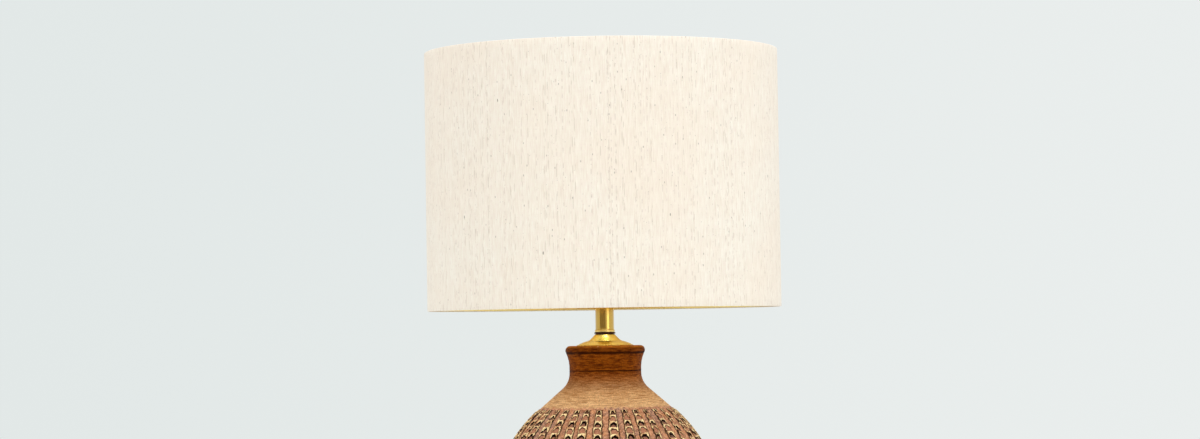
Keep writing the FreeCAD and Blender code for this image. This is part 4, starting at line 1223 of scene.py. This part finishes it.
    def _plain(self, points: Sequence[Point], ends: np.ndarray, even: np.ndarray, from_end: bool = False,
               tremble: float = 0.0, foot: float = 0.0) -> Rings:
        """Rings of uncarved wall along an outline, with the slight spiral that throwing leaves.

        Args:
            points: The outline.
            ends: The angles of the ring that meets the band.
            even: The angles that the rings come to away from the band.
            from_end: Whether the band is at the outline's end.
            tremble: How deep the throwing ridges are away from the band.
            foot: How bare the clay is, 0 to 1.

        Returns:
            Each ring's points and measures.
        """
        count = len(ends)
        rings, measures = [], []
        for index, (radius, height) in enumerate(points):
            away = len(points) - 1 - index if from_end else index
            angles = ends + (even - ends) * smooth_step(0.0, self.rings_to_even, away + 1.0)
            turn = height + self.spiral_rise * angles / FULL_TURN
            ridge = sum(size * np.sin(turn * pace + shift) for pace, size, shift in self.ridges)
            whole = sum(size for _, size, _ in self.ridges)
            sway = 0.5 * np.sin(3 * angles + height * 90.0)
            reach = radius + tremble * min(1.0, away / self.rings_to_tremble) * (ridge / whole + sway)
            rings.append(round_axis(reach, angles, height))
            measures.append(self._marks(count, across=2.0, foot=foot))
        return rings, measures

    def build(self) -> None:
        """Builds the vase as one closed wall, from the mouth over the outside and the foot to the inside."""
        band = self._band()
        ends = (band[0][0][::3], band[0][-1][::3])
        top, bottom = (np.unwrap(np.arctan2(ring[:, 1], ring[:, 0])) for ring in ends)
        even = top[0] + FULL_TURN * np.arange(len(top)) / len(top)
        soft = self.mouth_ease
        mouth = [(self.mouth_radius + 0.3 * soft, self.base_height - 0.3 * soft),
                 (self.mouth_radius + soft, self.base_height),
                 *Outline(self.mouth_radius, self.base_height).line(*self.to_shoulder[0], 5).points[1:-1]]
        end_travel = len(band[0]) / len(self.down) * self.cell_length
        floor_top = self.foot_recess_depth + self.floor_thickness
        recess = self.foot_radius - self.foot_wall
        foot = (
            Outline(*map(float, self._off_wall(end_travel, 0.0)))
            .arc(self.foot_radius, self.foot_ring_height, -self.lower_sweep, 22)
            .line(self.foot_radius, self.foot_round, 6)
            .arc(self.foot_radius - self.foot_round, 0.0, -self.foot_round, 4)
            .line(recess + self.foot_round, 0.0, 3)
            .arc(recess, self.foot_round, -self.foot_round, 3)
            .line(recess, self.foot_recess_depth, 3)
            .line(self.pipe_hole, self.foot_recess_depth, 8)
            .line(self.pipe_hole, floor_top, 2)
        ).points
        outside = sum(1 for _, height in foot if height > self.foot_round) - 5
        lower = self._plain(foot, bottom, even, tremble=self.lower_tremble)
        for index, found in enumerate(lower[1]):
            found["foot"] = np.full(len(top), smooth_step(outside - 8.0, outside - 1.0, float(index)))
        stretches = (
            self._plain(mouth, even, even),
            self._plain(self.to_shoulder[:-1], top, even, from_end=True, tremble=self.upper_tremble),
            band,
            lower,
            self._plain(self._inner_points(floor_top), even, even, foot=1.0),
        )
        self._join([ring for rings, _ in stretches for ring in rings],
                   [found for _, measures in stretches for found in measures])

    def _inner_points(self, floor_top: float) -> list[Point]:
        """The inside of the vase from the floor up to the mouth."""
        out, up = math.cos(self.bend), math.sin(self.bend)
        rise = floor_top + self.wall
        reach = math.sqrt((self.lower_sweep - self.wall) ** 2 - (rise - self.belly_height) ** 2)
        corner = self.belly_radius - self.lower_sweep + reach
        neck = self.neck_radius - self.wall
        return (
            Outline(corner - self.wall, floor_top)
            .arc(corner, rise, self.wall, 4)
            .arc(self.belly_radius - self.wall, self.belly_height, self.lower_sweep - self.wall, 8)
            .arc(self.shoulder[0] - self.wall * out, self.shoulder[1] - self.wall * up,
                 self.belly_sweep - self.wall, 8)
            .line(self.neck_radius + self.neck_sweep * (1 - out) - self.wall * out,
                  self.neck_foot - (self.neck_sweep + self.wall) * up, 2)
            .arc(neck, self.neck_foot, -(self.neck_sweep + self.wall), 6)
            .line(neck, self.base_height - self.mouth_depth - neck + self.mouth_radius, 2)
            .line(self.mouth_radius, self.base_height - self.mouth_depth)
            .line(self.mouth_radius, self.base_height - self.mouth_ease, 2)
        ).points

    def _join(self, rings: list[np.ndarray], marks: list[Measures]) -> None:
        """Joins rings of one or three points to a column into one closed mesh, and seats it.

        Args:
            rings: The rings' points, in order along the section.
            marks: Each ring's measures.
        """
        starts = np.concatenate([[0], np.cumsum([len(ring) for ring in rings])])
        faces: list[tuple[int, ...]] = []
        for index, ring in enumerate(rings):
            following = (index + 1) % len(rings)
            a, b = starts[index], starts[following]
            here, there = len(ring), len(rings[following])
            narrow = min(here, there)
            for step in range(narrow):
                beside = (step + 1) % narrow
                if here == there:
                    faces.append((a + step, b + step, b + beside, a + beside))
                elif there > here:
                    faces.append((a + step, *(b + (3 * step + n) % there for n in range(4)), a + beside))
                else:
                    faces.append((*(a + (3 * step + n) % here for n in (3, 2, 1, 0)), b + step, b + beside))
        vertices = np.concatenate(rings)
        vertices[:, 2] += self.lift
        piece = new_piece("stoneware_vase", vertices, faces, 60.0)
        for label in marks[0]:
            values = np.concatenate([ring[label] for ring in marks]).astype(np.float32)
            piece.data.attributes.new(label, "FLOAT", "POINT").data.foreach_set("value", values)
        self.seat(piece, "base", "ceramic_body", "stoneware")


# What stands on the vase and under it


@dataclass
class Stem(Assembly):
    """The stepped cap on the lip, the stem's tube and rings, and the pipe through them."""

    cap_tier_radius: float = 0.018
    cap_tier_height: float = 0.0056
    cap_rim_height: float = 0.0009
    cap_top_radius: float = 0.010
    cap_tier_sweep: float = 0.042
    cap_cone_sweep: float = 0.040
    sheet: float = 0.0009
    pipe_bore: float = 0.00525
    spigot_height: float = 0.0016
    spigot_radius: float = 0.0091
    ease: float = 0.00035

    def _cap(self) -> bpy.types.Object:
        """The cap: a rolled rim, a dished tier, a raised step and a cone."""
        low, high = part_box("vase_cap")
        radius, foot, top, sheet = high.x, low.z, high.z, self.sheet
        rim, tier = foot + self.cap_rim_height, foot + self.cap_tier_height
        middle, inner = self.cap_tier_radius, self.cap_top_radius
        outline = (
            Outline(radius - 2 * TENTH, foot)
            .arc(radius - 2 * TENTH, rim, self.cap_rim_height / 1.6, 5)
            .line(radius - 9 * TENTH, rim + TENTH)
            .arc(middle + 14 * TENTH, tier - 6 * TENTH, self.cap_tier_sweep, 14)
            .line(middle + 4 * TENTH, tier - 5 * TENTH)
            .line(middle, tier)
            .line(middle - 9 * TENTH, tier + TENTH)
            .arc(inner + 10 * TENTH, top - 9 * TENTH, -self.cap_cone_sweep, 12)
            .line(inner + 3 * TENTH, top - 6 * TENTH)
            .line(inner - 2 * TENTH, top)
            .line(self.pipe_bore, top)
            .line(self.pipe_bore, top - sheet)
            .line(inner - sheet, top - sheet)
            .arc(middle - sheet, tier - sheet, self.cap_cone_sweep + sheet, 8)
            .arc(radius - 2 * sheet, foot, -(self.cap_tier_sweep - sheet), 8)
        )
        return turned("brass_cap", eased(outline.points, self.ease, 4), even_angles(160))

    def _ring(self, node: str, name: str, spigot: Spigot, edge: float) -> bpy.types.Object:
        """A ring with rounded edges and a spigot into the tube.

        Args:
            node: The ring's node, which gives its place.
            name: The piece's name.
            spigot: Which way the spigot points.
            edge: How far the outer edges are rounded.

        Returns:
            The ring.
        """
        low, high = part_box(node)
        up = spigot is Spigot.UP
        foot = low.z + (0.0 if up else self.spigot_height)
        top = high.z - (self.spigot_height if up else 0.0)
        outline = Outline(self.pipe_bore, low.z)
        if not up:
            outline.line(self.spigot_radius, low.z).line(self.spigot_radius, foot)
        outline.line(high.x - edge, foot).arc(high.x, foot + edge, edge, 7)
        if top - foot > 2.1 * edge:
            outline.line(high.x, top - edge)
        outline.arc(high.x - edge, top, edge, 7)
        if up:
            outline.line(self.spigot_radius, top).line(self.spigot_radius, high.z)
        outline.line(self.pipe_bore, high.z)
        return turned(name, eased(outline.points, 2 * TENTH, 2), even_angles(128))

    def _tube(self) -> bpy.types.Object:
        """The brass tube that hides the pipe."""
        low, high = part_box("neck_tube")
        outline = (
            Outline(high.x - self.sheet, low.z)
            .line(high.x, low.z)
            .line(high.x, high.z, 24)
            .line(high.x - self.sheet, high.z)
        )
        return turned("brass_tube", eased(outline.points, self.ease, 4), even_angles(128))

    def build(self) -> None:
        """Builds and seats the pieces from the lip to the saddle."""
        self.seat(self._cap(), "base", "vase_cap", "spun_brass", slot="polished_brass")
        lower = self._ring("check_ring", "brass_check_ring", Spigot.UP, 9 * TENTH)
        self.seat(lower, "base", "check_ring", "polished_brass")
        self.seat(self._tube(), "base", "neck_tube", "antique_brass")
        upper = self._ring("seat_ring", "brass_seat_ring", Spigot.DOWN, 10 * TENTH)
        self.seat(upper, "base", "seat_ring", "polished_brass")
        self.dress("fibre", "neck_washer")
        self.dress("zinc_steel", "lamp_pipe")


@dataclass
class Foot(Assembly):
    """What is under and in the vase's foot."""

    felt_ease: float = 0.0008

    def build(self) -> None:
        """Builds the felt with its soft edge and dresses the clamp and the bush."""
        low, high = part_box("foot_felt")
        outline = Outline(0.0, low.z).line(high.x, low.z, 12).line(high.x, high.z, 2).line(0.0, high.z, 12)
        soft = eased(outline.points, self.felt_ease, 4, closed=False)
        felt = turned("green_felt", soft, even_angles(160), closed=False, crease=70.0)
        self.seat(felt, "base", "foot_felt", "felt")
        self.dress("rubber", "base_gasket")
        self.dress("zinc_steel", "base_washer", "base_nut")
        self.dress("black_nylon", "cord_bushing")


@dataclass
class Harp(Assembly):
    """The wire harp, its sleeves and the saddle that carries it."""

    def build(self) -> None:
        """Dresses the harp's pieces."""
        self.dress("antique_brass", "harp_wire", "harp_sleeve_left", "harp_sleeve_right", "harp_saddle",
                   "saddle_nut")


# The lamp holder and the bulb


@dataclass
class LampHolder(Assembly):
    """The lamp holder: shells, block, contacts and turn switch."""

    wall: float = 0.0004
    hole: float = 0.005
    thread_depth: float = 0.00065

    def _screw_shell(self) -> bpy.types.Object:
        """The rolled screw shell that the bulb's cap turns in."""
        low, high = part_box("screw_shell")
        radius, inner, corner = high.x, high.x - self.wall, 6 * TENTH
        thread = Thread(BULB_PITCH, self.thread_depth, 0.002, low.z + 0.002, high.z - 12 * TENTH)

        def rolled(angle: float, reach: float, height: float) -> float:
            """The rolled thread, the same inside and out."""
            return -thread.cut(angle, height) if reach > inner - self.wall else 0.0

        outline = (
            Outline(self.hole, low.z)
            .line(radius - corner, low.z, 2)
            .arc(radius, low.z + corner, corner, 4)
            .line(radius, high.z, 70)
            .line(inner, high.z)
            .line(inner, low.z + 7 * TENTH, 70)
            .line(inner - 3 * TENTH, low.z + self.wall)
            .line(self.hole, low.z + self.wall, 2)
        )
        return turned("rolled_screw_shell", outline.points, even_angles(80), ripple=rolled)

    def build(self) -> None:
        """Builds the screw shell and dresses the holder's other pieces."""
        self.seat(self._screw_shell(), "base", "screw_shell", "contact_brass")
        self.dress("antique_brass", "socket_cap", "cap_set_screw", "socket_shell")
        self.dress("card", "socket_liner")
        self.dress("porcelain", "socket_block")
        self.dress("contact_brass", "terminal_screws", "centre_contact", "switch_spindle")
        self.dress("bakelite", "switch_knob")


@dataclass
class Bulb(Assembly):
    """The bulb: frosted glass in a rolled screw cap, with its black insulator and its contact."""

    thread_depth: float = 0.0010
    cap_wall: float = 0.0004
    cap_foot_radius: float = 0.011
    collar: float = 0.0042
    crimps: int = 4
    crimp_depth: float = 0.0003
    neck_height: float = 0.014
    flare_height: float = 0.048
    glass_wall: float = 0.0008
    solder_sweep: float = 0.0052
    solder_rim: float = 0.00012

    def _cap(self) -> bpy.types.Object:
        """The screw cap: a curled foot, the rolled thread and a crimped collar."""
        low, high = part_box("bulb_cap")
        radius, inner, curl = high.x, high.x - self.cap_wall, high.x - self.cap_foot_radius
        thread = Thread(BULB_PITCH, self.thread_depth, 0.0016, low.z + curl, high.z - self.collar)

        def rolled(angle: float, reach: float, height: float) -> float:
            """The thread, and the crimps in the collar that grip the glass."""
            if reach < inner - self.cap_wall:
                return 0.0
            beside = smooth_step(13 * TENTH, 4 * TENTH, abs(height - (high.z - 0.002)))
            crimp = float(beside) * max(0.0, math.cos(self.crimps * angle)) ** 8
            return -thread.cut(angle, height) - self.crimp_depth * crimp

        slant = self.cap_wall * math.sqrt(2.0)
        outline = (
            Outline(self.cap_foot_radius, low.z)
            .line(radius, low.z + curl, 5)
            .line(radius, high.z, 62)
            .line(inner, high.z)
            .line(inner, low.z + curl - self.cap_wall + slant, 62)
            .line(self.cap_foot_radius, low.z + slant, 5)
        )
        return turned("rolled_bulb_cap", outline.points, even_angles(96), ripple=rolled, crease=60.0)

    def _glass(self) -> bpy.types.Object:
        """The blown glass, which flares from the neck into the ball."""
        low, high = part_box("bulb_glass")
        ball, neck = high.x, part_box("bulb_cap")[1].x - self.cap_wall - TENTH
        flare = (neck ** 2 + self.flare_height ** 2 - ball ** 2) / (2 * (ball - neck))
        foot, middle = low.z + self.neck_height, high.z - ball
        inner, throat = ball - self.glass_wall, neck - self.glass_wall

        def meeting(radius: float) -> Point:
            """Where the flare runs into the ball."""
            share = radius / (ball + flare)
            return (neck + flare) * share, middle - self.flare_height * share

        outline = (
            Outline(throat, low.z)
            .line(neck, low.z)
            .line(neck, foot, 3)
            .arc(*meeting(ball), -flare, 22)
            .arc(ball, middle, ball, 16)
            .arc(0.0, high.z, ball, 26)
        )
        hollow = (
            Outline(0.0, high.z - self.glass_wall)
            .arc(inner, middle, -inner, 20)
            .arc(*meeting(inner), -inner, 10)
            .arc(throat, foot, flare + self.glass_wall, 14)
        )
        return turned("frosted_bulb", [*outline.points, *hollow.points], even_angles(112))

    def _tip(self) -> bpy.types.Object:
        """The soldered contact, domed and a little uneven."""
        low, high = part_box("bulb_contact")

        def uneven(angle: float, radius: float, height: float) -> float:
            """The solder's uneven rim."""
            return -self.solder_rim * (1.0 + math.sin(3 * angle + 0.6)) if radius > 10 * TENTH else 0.0

        outline = (
            Outline(0.0, low.z)
            .line(high.x * 0.35, low.z + 0.5 * TENTH, 3)
            .arc(high.x, high.z - 2 * TENTH, self.solder_sweep, 8)
            .line(high.x, high.z)
            .line(0.0, high.z, 3)
        )
        return turned("solder_contact", outline.points, even_angles(64), closed=False, ripple=uneven)

    def build(self) -> None:
        """Builds the bulb's cap, glass and contact, and dresses the insulator."""
        self.seat(self._cap(), "bulb", "bulb_cap", "aluminium")
        self.seat(self._glass(), "bulb", "bulb_glass", "frosted_glass")
        self.seat(self._tip(), "bulb_lift", "bulb_contact", "contact_brass")
        self.dress("black_glass", "bulb_insulator")


# The shade and what holds it


@dataclass
class Shade(Assembly):
    """The linen drum, its foil lining, its wire rings and the spider that carries them."""

    cloth_thickness: float = 0.0007
    lining_thickness: float = 0.0005
    turn_in: float = 0.0009
    edge: float = 0.0005
    overlap: float = 0.012
    seam_angle: float = 90.0
    seam_rise: float = 0.00045
    segments: int = 240
    rows: int = 40

    def _cloth(self) -> bpy.types.Object:
        """The linen round the drum, with its rolled edges and its lapped seam at the back."""
        low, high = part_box("shade_fabric")
        radius, edge, thick = high.x - 2 * TENTH, self.edge, self.cloth_thickness
        back, hem, corner = radius - thick, radius - thick - self.turn_in, edge * 0.3
        heights = np.linspace(low.z + edge, high.z - edge, self.rows + 1)
        profile = [
            (hem, low.z + thick), (hem, low.z), (radius - edge, low.z), (radius - corner, low.z + corner),
            *((radius, float(height)) for height in heights),
            (radius - corner, high.z - corner), (radius - edge, high.z), (hem, high.z),
            (hem, high.z - thick), (back, high.z - thick),
            *((back, float(height)) for height in heights[::-4]),
            (back, low.z + thick),
        ]
        seam, lap = math.radians(self.seam_angle), self.overlap / radius

        def seam_lift(angle: float, reach: float, height: float) -> float:
            """The lap of the seam, which stands a little proud on the outside."""
            past = (angle - seam + math.pi) % FULL_TURN - math.pi
            if reach < radius - edge * 2 or not 0.0 <= past <= lap:
                return 0.0
            lies = smooth_step(0.0, lap * 0.08, past) * smooth_step(lap, lap * 0.45, past)
            return self.seam_rise * float(lies)

        beside = [seam - 0.001, *(seam + lap * share for share in (0.04, 0.09, 0.5, 1.0))]
        angles = sorted(even_angles(self.segments) + beside)
        piece = turned("linen_drum", profile, angles, ripple=seam_lift)
        measures = [(angle * radius, height) for _, height in profile for angle in angles]
        self._measure(piece, measures, FULL_TURN * radius)
        return piece

    @staticmethod
    def _measure(piece: bpy.types.Object, measures: Sequence[Point], girth: float) -> None:
        """Lays the cloth's own measure, in metres, on the mesh.

        Args:
            piece: The cloth.
            measures: Each point's distance round and up.
            girth: The distance once round, where the measure starts again.
        """
        layer = piece.data.uv_layers.new(name="cloth")
        for face in piece.data.polygons:
            places = [measures[piece.data.loops[loop].vertex_index] for loop in face.loop_indices]
            far = max(place[0] for place in places)
            for loop, (across, up) in zip(face.loop_indices, places):
                layer.data[loop].uv = (across + girth if far - across > girth / 2 else across, up)

    def _lining(self) -> bpy.types.Object:
        """The foil lining."""
        low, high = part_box("shade_lining")
        inner = high.x - self.lining_thickness
        outline = (
            Outline(inner, low.z)
            .line(high.x, low.z)
            .line(high.x, high.z, 12)
            .line(inner, high.z)
            .line(inner, low.z, 12)
        )
        return turned("gold_lining_drum", outline.points[:-1], even_angles(240))

    def build(self) -> None:
        """Builds the drum and dresses its frame."""
        cloth = self._cloth()
        self.seat(cloth, "shade", "shade_fabric", "linen")
        self.seat(self._lining(), "shade", "shade_lining", "gold_lining")
        self.dress("polished_brass", "shade_top_ring", "shade_bottom_ring", "shade_spider")


@dataclass
class Finial(Assembly):
    """The turned finial and its washer, over the stud that turns in the harp's pad."""

    bore: float = 0.00318
    foot_radius: float = 0.006
    foot_height: float = 0.0016
    waist_radius: float = 0.0049
    waist_height: float = 0.0036
    ball_radius: float = 0.0078
    button_radius: float = 0.0024
    button_height: float = 0.001
    cover: float = 0.012
    groove: float = 0.0003
    groove_angle: float = 3.0
    ridges: int = 72
    ridge_depth: float = 0.00012
    thread_pitch: float = INCH / 27
    thread_depth: float = 0.0004
    thread_length: float = 0.011
    stud_radius: float = 0.0031
    shank_radius: float = 0.0024
    collar_height: float = 0.0022
    collar_radius: float = 0.0064
    head_radius: float = 0.0044
    head_height: float = 0.0014
    head_sweep: float = 0.0036

    def _finial(self) -> bpy.types.Object:
        """The finial: a beaded foot, a waist, a ball with a groove round it and a button on top."""
        low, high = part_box("finial")
        foot, collar = low.z, low.z + self.foot_height
        waist, depth = collar + self.waist_height, high.z - low.z - self.cover
        middle = waist + math.sqrt(self.ball_radius ** 2 - self.waist_radius ** 2)
        crown = middle + math.sqrt(self.ball_radius ** 2 - self.button_radius ** 2)
        cut = math.radians(self.groove_angle)
        rim, half = self.ball_radius * math.cos(cut), self.ball_radius * math.sin(cut)
        entry, bead = foot + 3 * TENTH, self.foot_radius - 4 * TENTH
        outline = (
            Outline(self.bore, entry)
            .line(self.bore + 3 * TENTH, foot)
            .line(bead, foot)
            .arc(bead, foot + 8 * TENTH, 4 * TENTH, 8)
            .line(self.foot_radius - 8 * TENTH, collar - 6 * TENTH, 2)
            .line(bead, collar)
            .arc(self.waist_radius, waist - 4 * TENTH, -self.waist_height * 1.4, 12)
            .line(self.waist_radius + 3 * TENTH, waist)
            .arc(rim, middle - half, self.ball_radius, 22)
            .line(self.ball_radius - self.groove, middle)
            .line(rim, middle + half)
            .arc(self.button_radius + 4 * TENTH, crown - 3 * TENTH, self.ball_radius, 22)
            .line(self.button_radius - 2 * TENTH, crown)
            .line(self.button_radius, crown + self.button_height, 2)
            .arc(0.0, high.z, self.button_radius, 12)
        )
        hole = Outline(0.0, foot + depth).line(self.bore, foot + depth, 2).line(self.bore, entry, 6)
        return turned("brass_finial", [*outline.points, *hole.points[:-1]], even_angles(112), crease=40.0)

    def _washer(self) -> bpy.types.Object:
        """The finial's washer, with a milled edge."""
        low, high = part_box("finial_washer")
        ease, angles = 2 * TENTH, even_angles(4 * self.ridges)

        def milled(angle: float, radius: float, height: float) -> float:
            """The milling, on the rim alone."""
            on_rim = radius > high.x - TENTH
            return -self.ridge_depth * (0.5 + 0.5 * math.cos(self.ridges * angle)) if on_rim else 0.0

        outline = (
            Outline(self.bore, low.z)
            .line(high.x - ease, low.z)
            .line(high.x, low.z + ease)
            .line(high.x, high.z - ease)
            .line(high.x - ease, high.z)
            .line(self.bore, high.z)
        )
        return turned("milled_washer", outline.points, angles, ripple=milled, crease=30.0)

    def _stud(self) -> bpy.types.Object:
        """The stud: riveted head, shank, collar, and a thread of 27 to the inch."""
        low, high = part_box("harp_swivel")
        top, hub, shank, ease = high.z, high.z - self.thread_length, low.z + self.head_height, 2 * TENTH
        collar = hub - self.collar_height
        thread = Thread(self.thread_pitch, self.thread_depth, 13 * TENTH, hub + 7 * TENTH)

        def threaded(angle: float, radius: float, height: float) -> float:
            """The thread, on the stud's own radius alone."""
            return 0.0 if radius < self.stud_radius - TENTH else -thread.cut(angle, height)

        outline = (
            Outline(0.0, low.z)
            .line(self.head_radius * 0.5, low.z, 2)
            .arc(self.head_radius, shank - ease, self.head_sweep, 8)
            .line(self.head_radius - ease, shank)
            .line(self.shank_radius, shank)
            .line(self.shank_radius, collar, 2)
            .line(self.collar_radius - ease, collar)
            .line(self.collar_radius, collar + ease)
            .line(self.collar_radius, hub - ease)
            .line(self.collar_radius - ease, hub)
            .line(self.stud_radius, hub)
            .line(self.stud_radius, top - 6 * TENTH, 104)
            .line(self.stud_radius - 6 * TENTH, top)
            .line(0.0, top, 2)
        )
        return turned("threaded_stud", outline.points, even_angles(56), closed=False, ripple=threaded)

    def build(self) -> None:
        """Builds and seats the finial, its washer and the stud."""
        self.seat(self._finial(), "finial", "finial", "polished_brass")
        self.seat(self._washer(), "finial_lift", "finial_washer", "polished_brass")
        self.seat(self._stud(), "shade", "harp_swivel", "antique_brass")


# The studio and the camera


@dataclass(frozen=True)
class SoftLight:
    """One soft studio light, which points at the table lamp's axis."""

    name: str
    place: Place
    target_height: float
    size: tuple[float, float]
    power: float

    def hang(self) -> None:
        """Hangs the light in the scene."""
        light = bpy.data.lights.new(self.name, "AREA")
        light.energy, light.shape = self.power, "RECTANGLE"
        light.size, light.size_y = self.size
        hung = bpy.data.objects.new(self.name, light)
        hung.location = self.place
        aim = Vector((0.0, 0.0, self.target_height)) - Vector(self.place)
        hung.rotation_euler = aim.to_track_quat("-Z", "Y").to_euler()
        bpy.context.scene.collection.objects.link(hung)


@dataclass
class Studio:
    """A pale floor that fades into the backdrop, and soft light from all round."""

    backdrop: Colour = tint(230, 235, 234)
    backdrop_left: Colour = tint(226, 232, 231)
    backdrop_right: Colour = tint(234, 238, 237)
    air: Colour = (1.0, 0.985, 0.965)
    air_level: float = 0.84
    floor_radius: float = 3.0
    card_angles: tuple[float, float] = (-62.0, 12.0)
    card_steps: int = 12
    card_distance: float = 4.2
    card_height: float = 3.0
    card_colour: Colour = tint(152, 144, 132)
    lights: tuple[SoftLight, ...] = (
        SoftLight("key", (1.75, -1.95, 1.0), 0.45, (1.2, 2.0), 12.0),
        SoftLight("top", (0.1, -0.25, 2.6), 0.3, (0.7, 0.7), 15.0),
        SoftLight("fill", (-2.3, -1.3, 1.5), 0.4, (0.8, 1.6), 7.5),
    )

    def _world(self) -> None:
        """Sets the world: the backdrop's own colour where it is seen, and plain soft light elsewhere."""
        world = bpy.data.worlds.new("studio")
        bpy.context.scene.world = world
        world.use_nodes = True
        world.node_tree.nodes.clear()
        graph = Graph(world.node_tree)
        aside = graph.parts(graph.add("TexCoord")["Generated"])[0]
        tone = graph.mix(aside.spread(-0.25, 0.25), self.backdrop_left, self.backdrop_right)
        seen = graph.add("Background", {"Color": tone, "Strength": 1.0})[0]
        lit = graph.add("Background", {"Color": self.air, "Strength": self.air_level})[0]
        path = graph.add("LightPath")
        mirrored = path["Is Glossy Ray"].by("MAXIMUM", path["Is Transmission Ray"])
        looks = path["Is Camera Ray"].by("MAXIMUM", mirrored)
        graph.add("OutputWorld", {0: graph.add("MixShader", {0: looks, 1: lit, 2: seen})[0]})

    def _floor(self) -> None:
        """Lays a pale floor that thins out to the backdrop away from the lamp."""
        points = Outline(0.0, 0.0).line(self.floor_radius, 0.0, 8).points
        floor = turned("floor", points[::-1], even_angles(64), closed=False)
        surface = Surface("pale_floor", Roughness=0.9, Base_Color=self.backdrop, Specular_IOR_Level=0.1)
        x, y, _ = surface.parts(surface.point)
        thin = (x * x + y * y).by("SQRT").spread(0.5, 2.0)
        unseen = thin.by("MAXIMUM", surface.add("NewGeometry")["Backfacing"])
        clear = surface.add("BsdfTransparent")[0]
        mixed = surface.add("MixShader", {0: unseen, 1: surface.shader[0], 2: clear})[0]
        surface.fill(surface.tree.nodes["Material Output"], {0: mixed})
        floor.data.materials.append(surface.material)

    def _card(self) -> None:
        """Stands a dark card behind the camera, itself unseen, for the brass to reflect."""
        vertices = []
        for angle in np.radians(np.linspace(*self.card_angles, self.card_steps + 1)):
            place = (self.card_distance * math.sin(angle), -self.card_distance * math.cos(angle))
            vertices += [(*place, 0.0), (*place, self.card_height)]
        faces = [(step, step + 1, step + 3, step + 2) for step in range(0, 2 * self.card_steps, 2)]
        card = new_piece("dark_card", vertices, faces)
        surface = Surface("dark_card", Roughness=0.95, Base_Color=self.card_colour)
        card.data.materials.append(surface.material)
        card.visible_camera = card.visible_diffuse = card.visible_shadow = False

    def build(self) -> None:
        """Sets the world, the floor, the card and the lights."""
        self._world()
        self._floor()
        self._card()
        for light in self.lights:
            light.hang()
        bpy.context.scene.view_settings.view_transform = "Standard"


@dataclass
class Camera:
    """The photograph's viewpoint."""

    lens: float = 93.77
    sensor: float = 36.0
    clip: Point = (0.05, 50.0)
    place: Place = (0.0, -3.366, 0.3766)
    pitch: float = 2.07
    yaw: float = 0.057
    roll: float = -0.88

    def build(self) -> None:
        """Sets the camera."""
        data = bpy.data.cameras.new("camera")
        data.lens, data.sensor_width = self.lens, self.sensor
        data.clip_start, data.clip_end = self.clip
        camera = bpy.data.objects.new("camera", data)
        camera.location = self.place
        aim = Euler((math.radians(90.0 + self.pitch), 0.0, math.radians(self.yaw))).to_matrix()
        turn = Euler((0.0, 0.0, math.radians(self.roll))).to_matrix()
        camera.rotation_euler = (aim @ turn).to_euler()
        bpy.context.scene.collection.objects.link(camera)
        bpy.context.scene.camera = camera


def main() -> None:
    """Builds the lamp's looks in order, then the studio and the camera."""
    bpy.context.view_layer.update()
    finishes = all_finishes()
    for assembly in (Vase, Foot, Stem, Harp, LampHolder, Bulb, Shade, Finial):
        assembly(finishes).build()
    Studio().build()
    Camera().build()


if __name__ == "__main__":
    main()
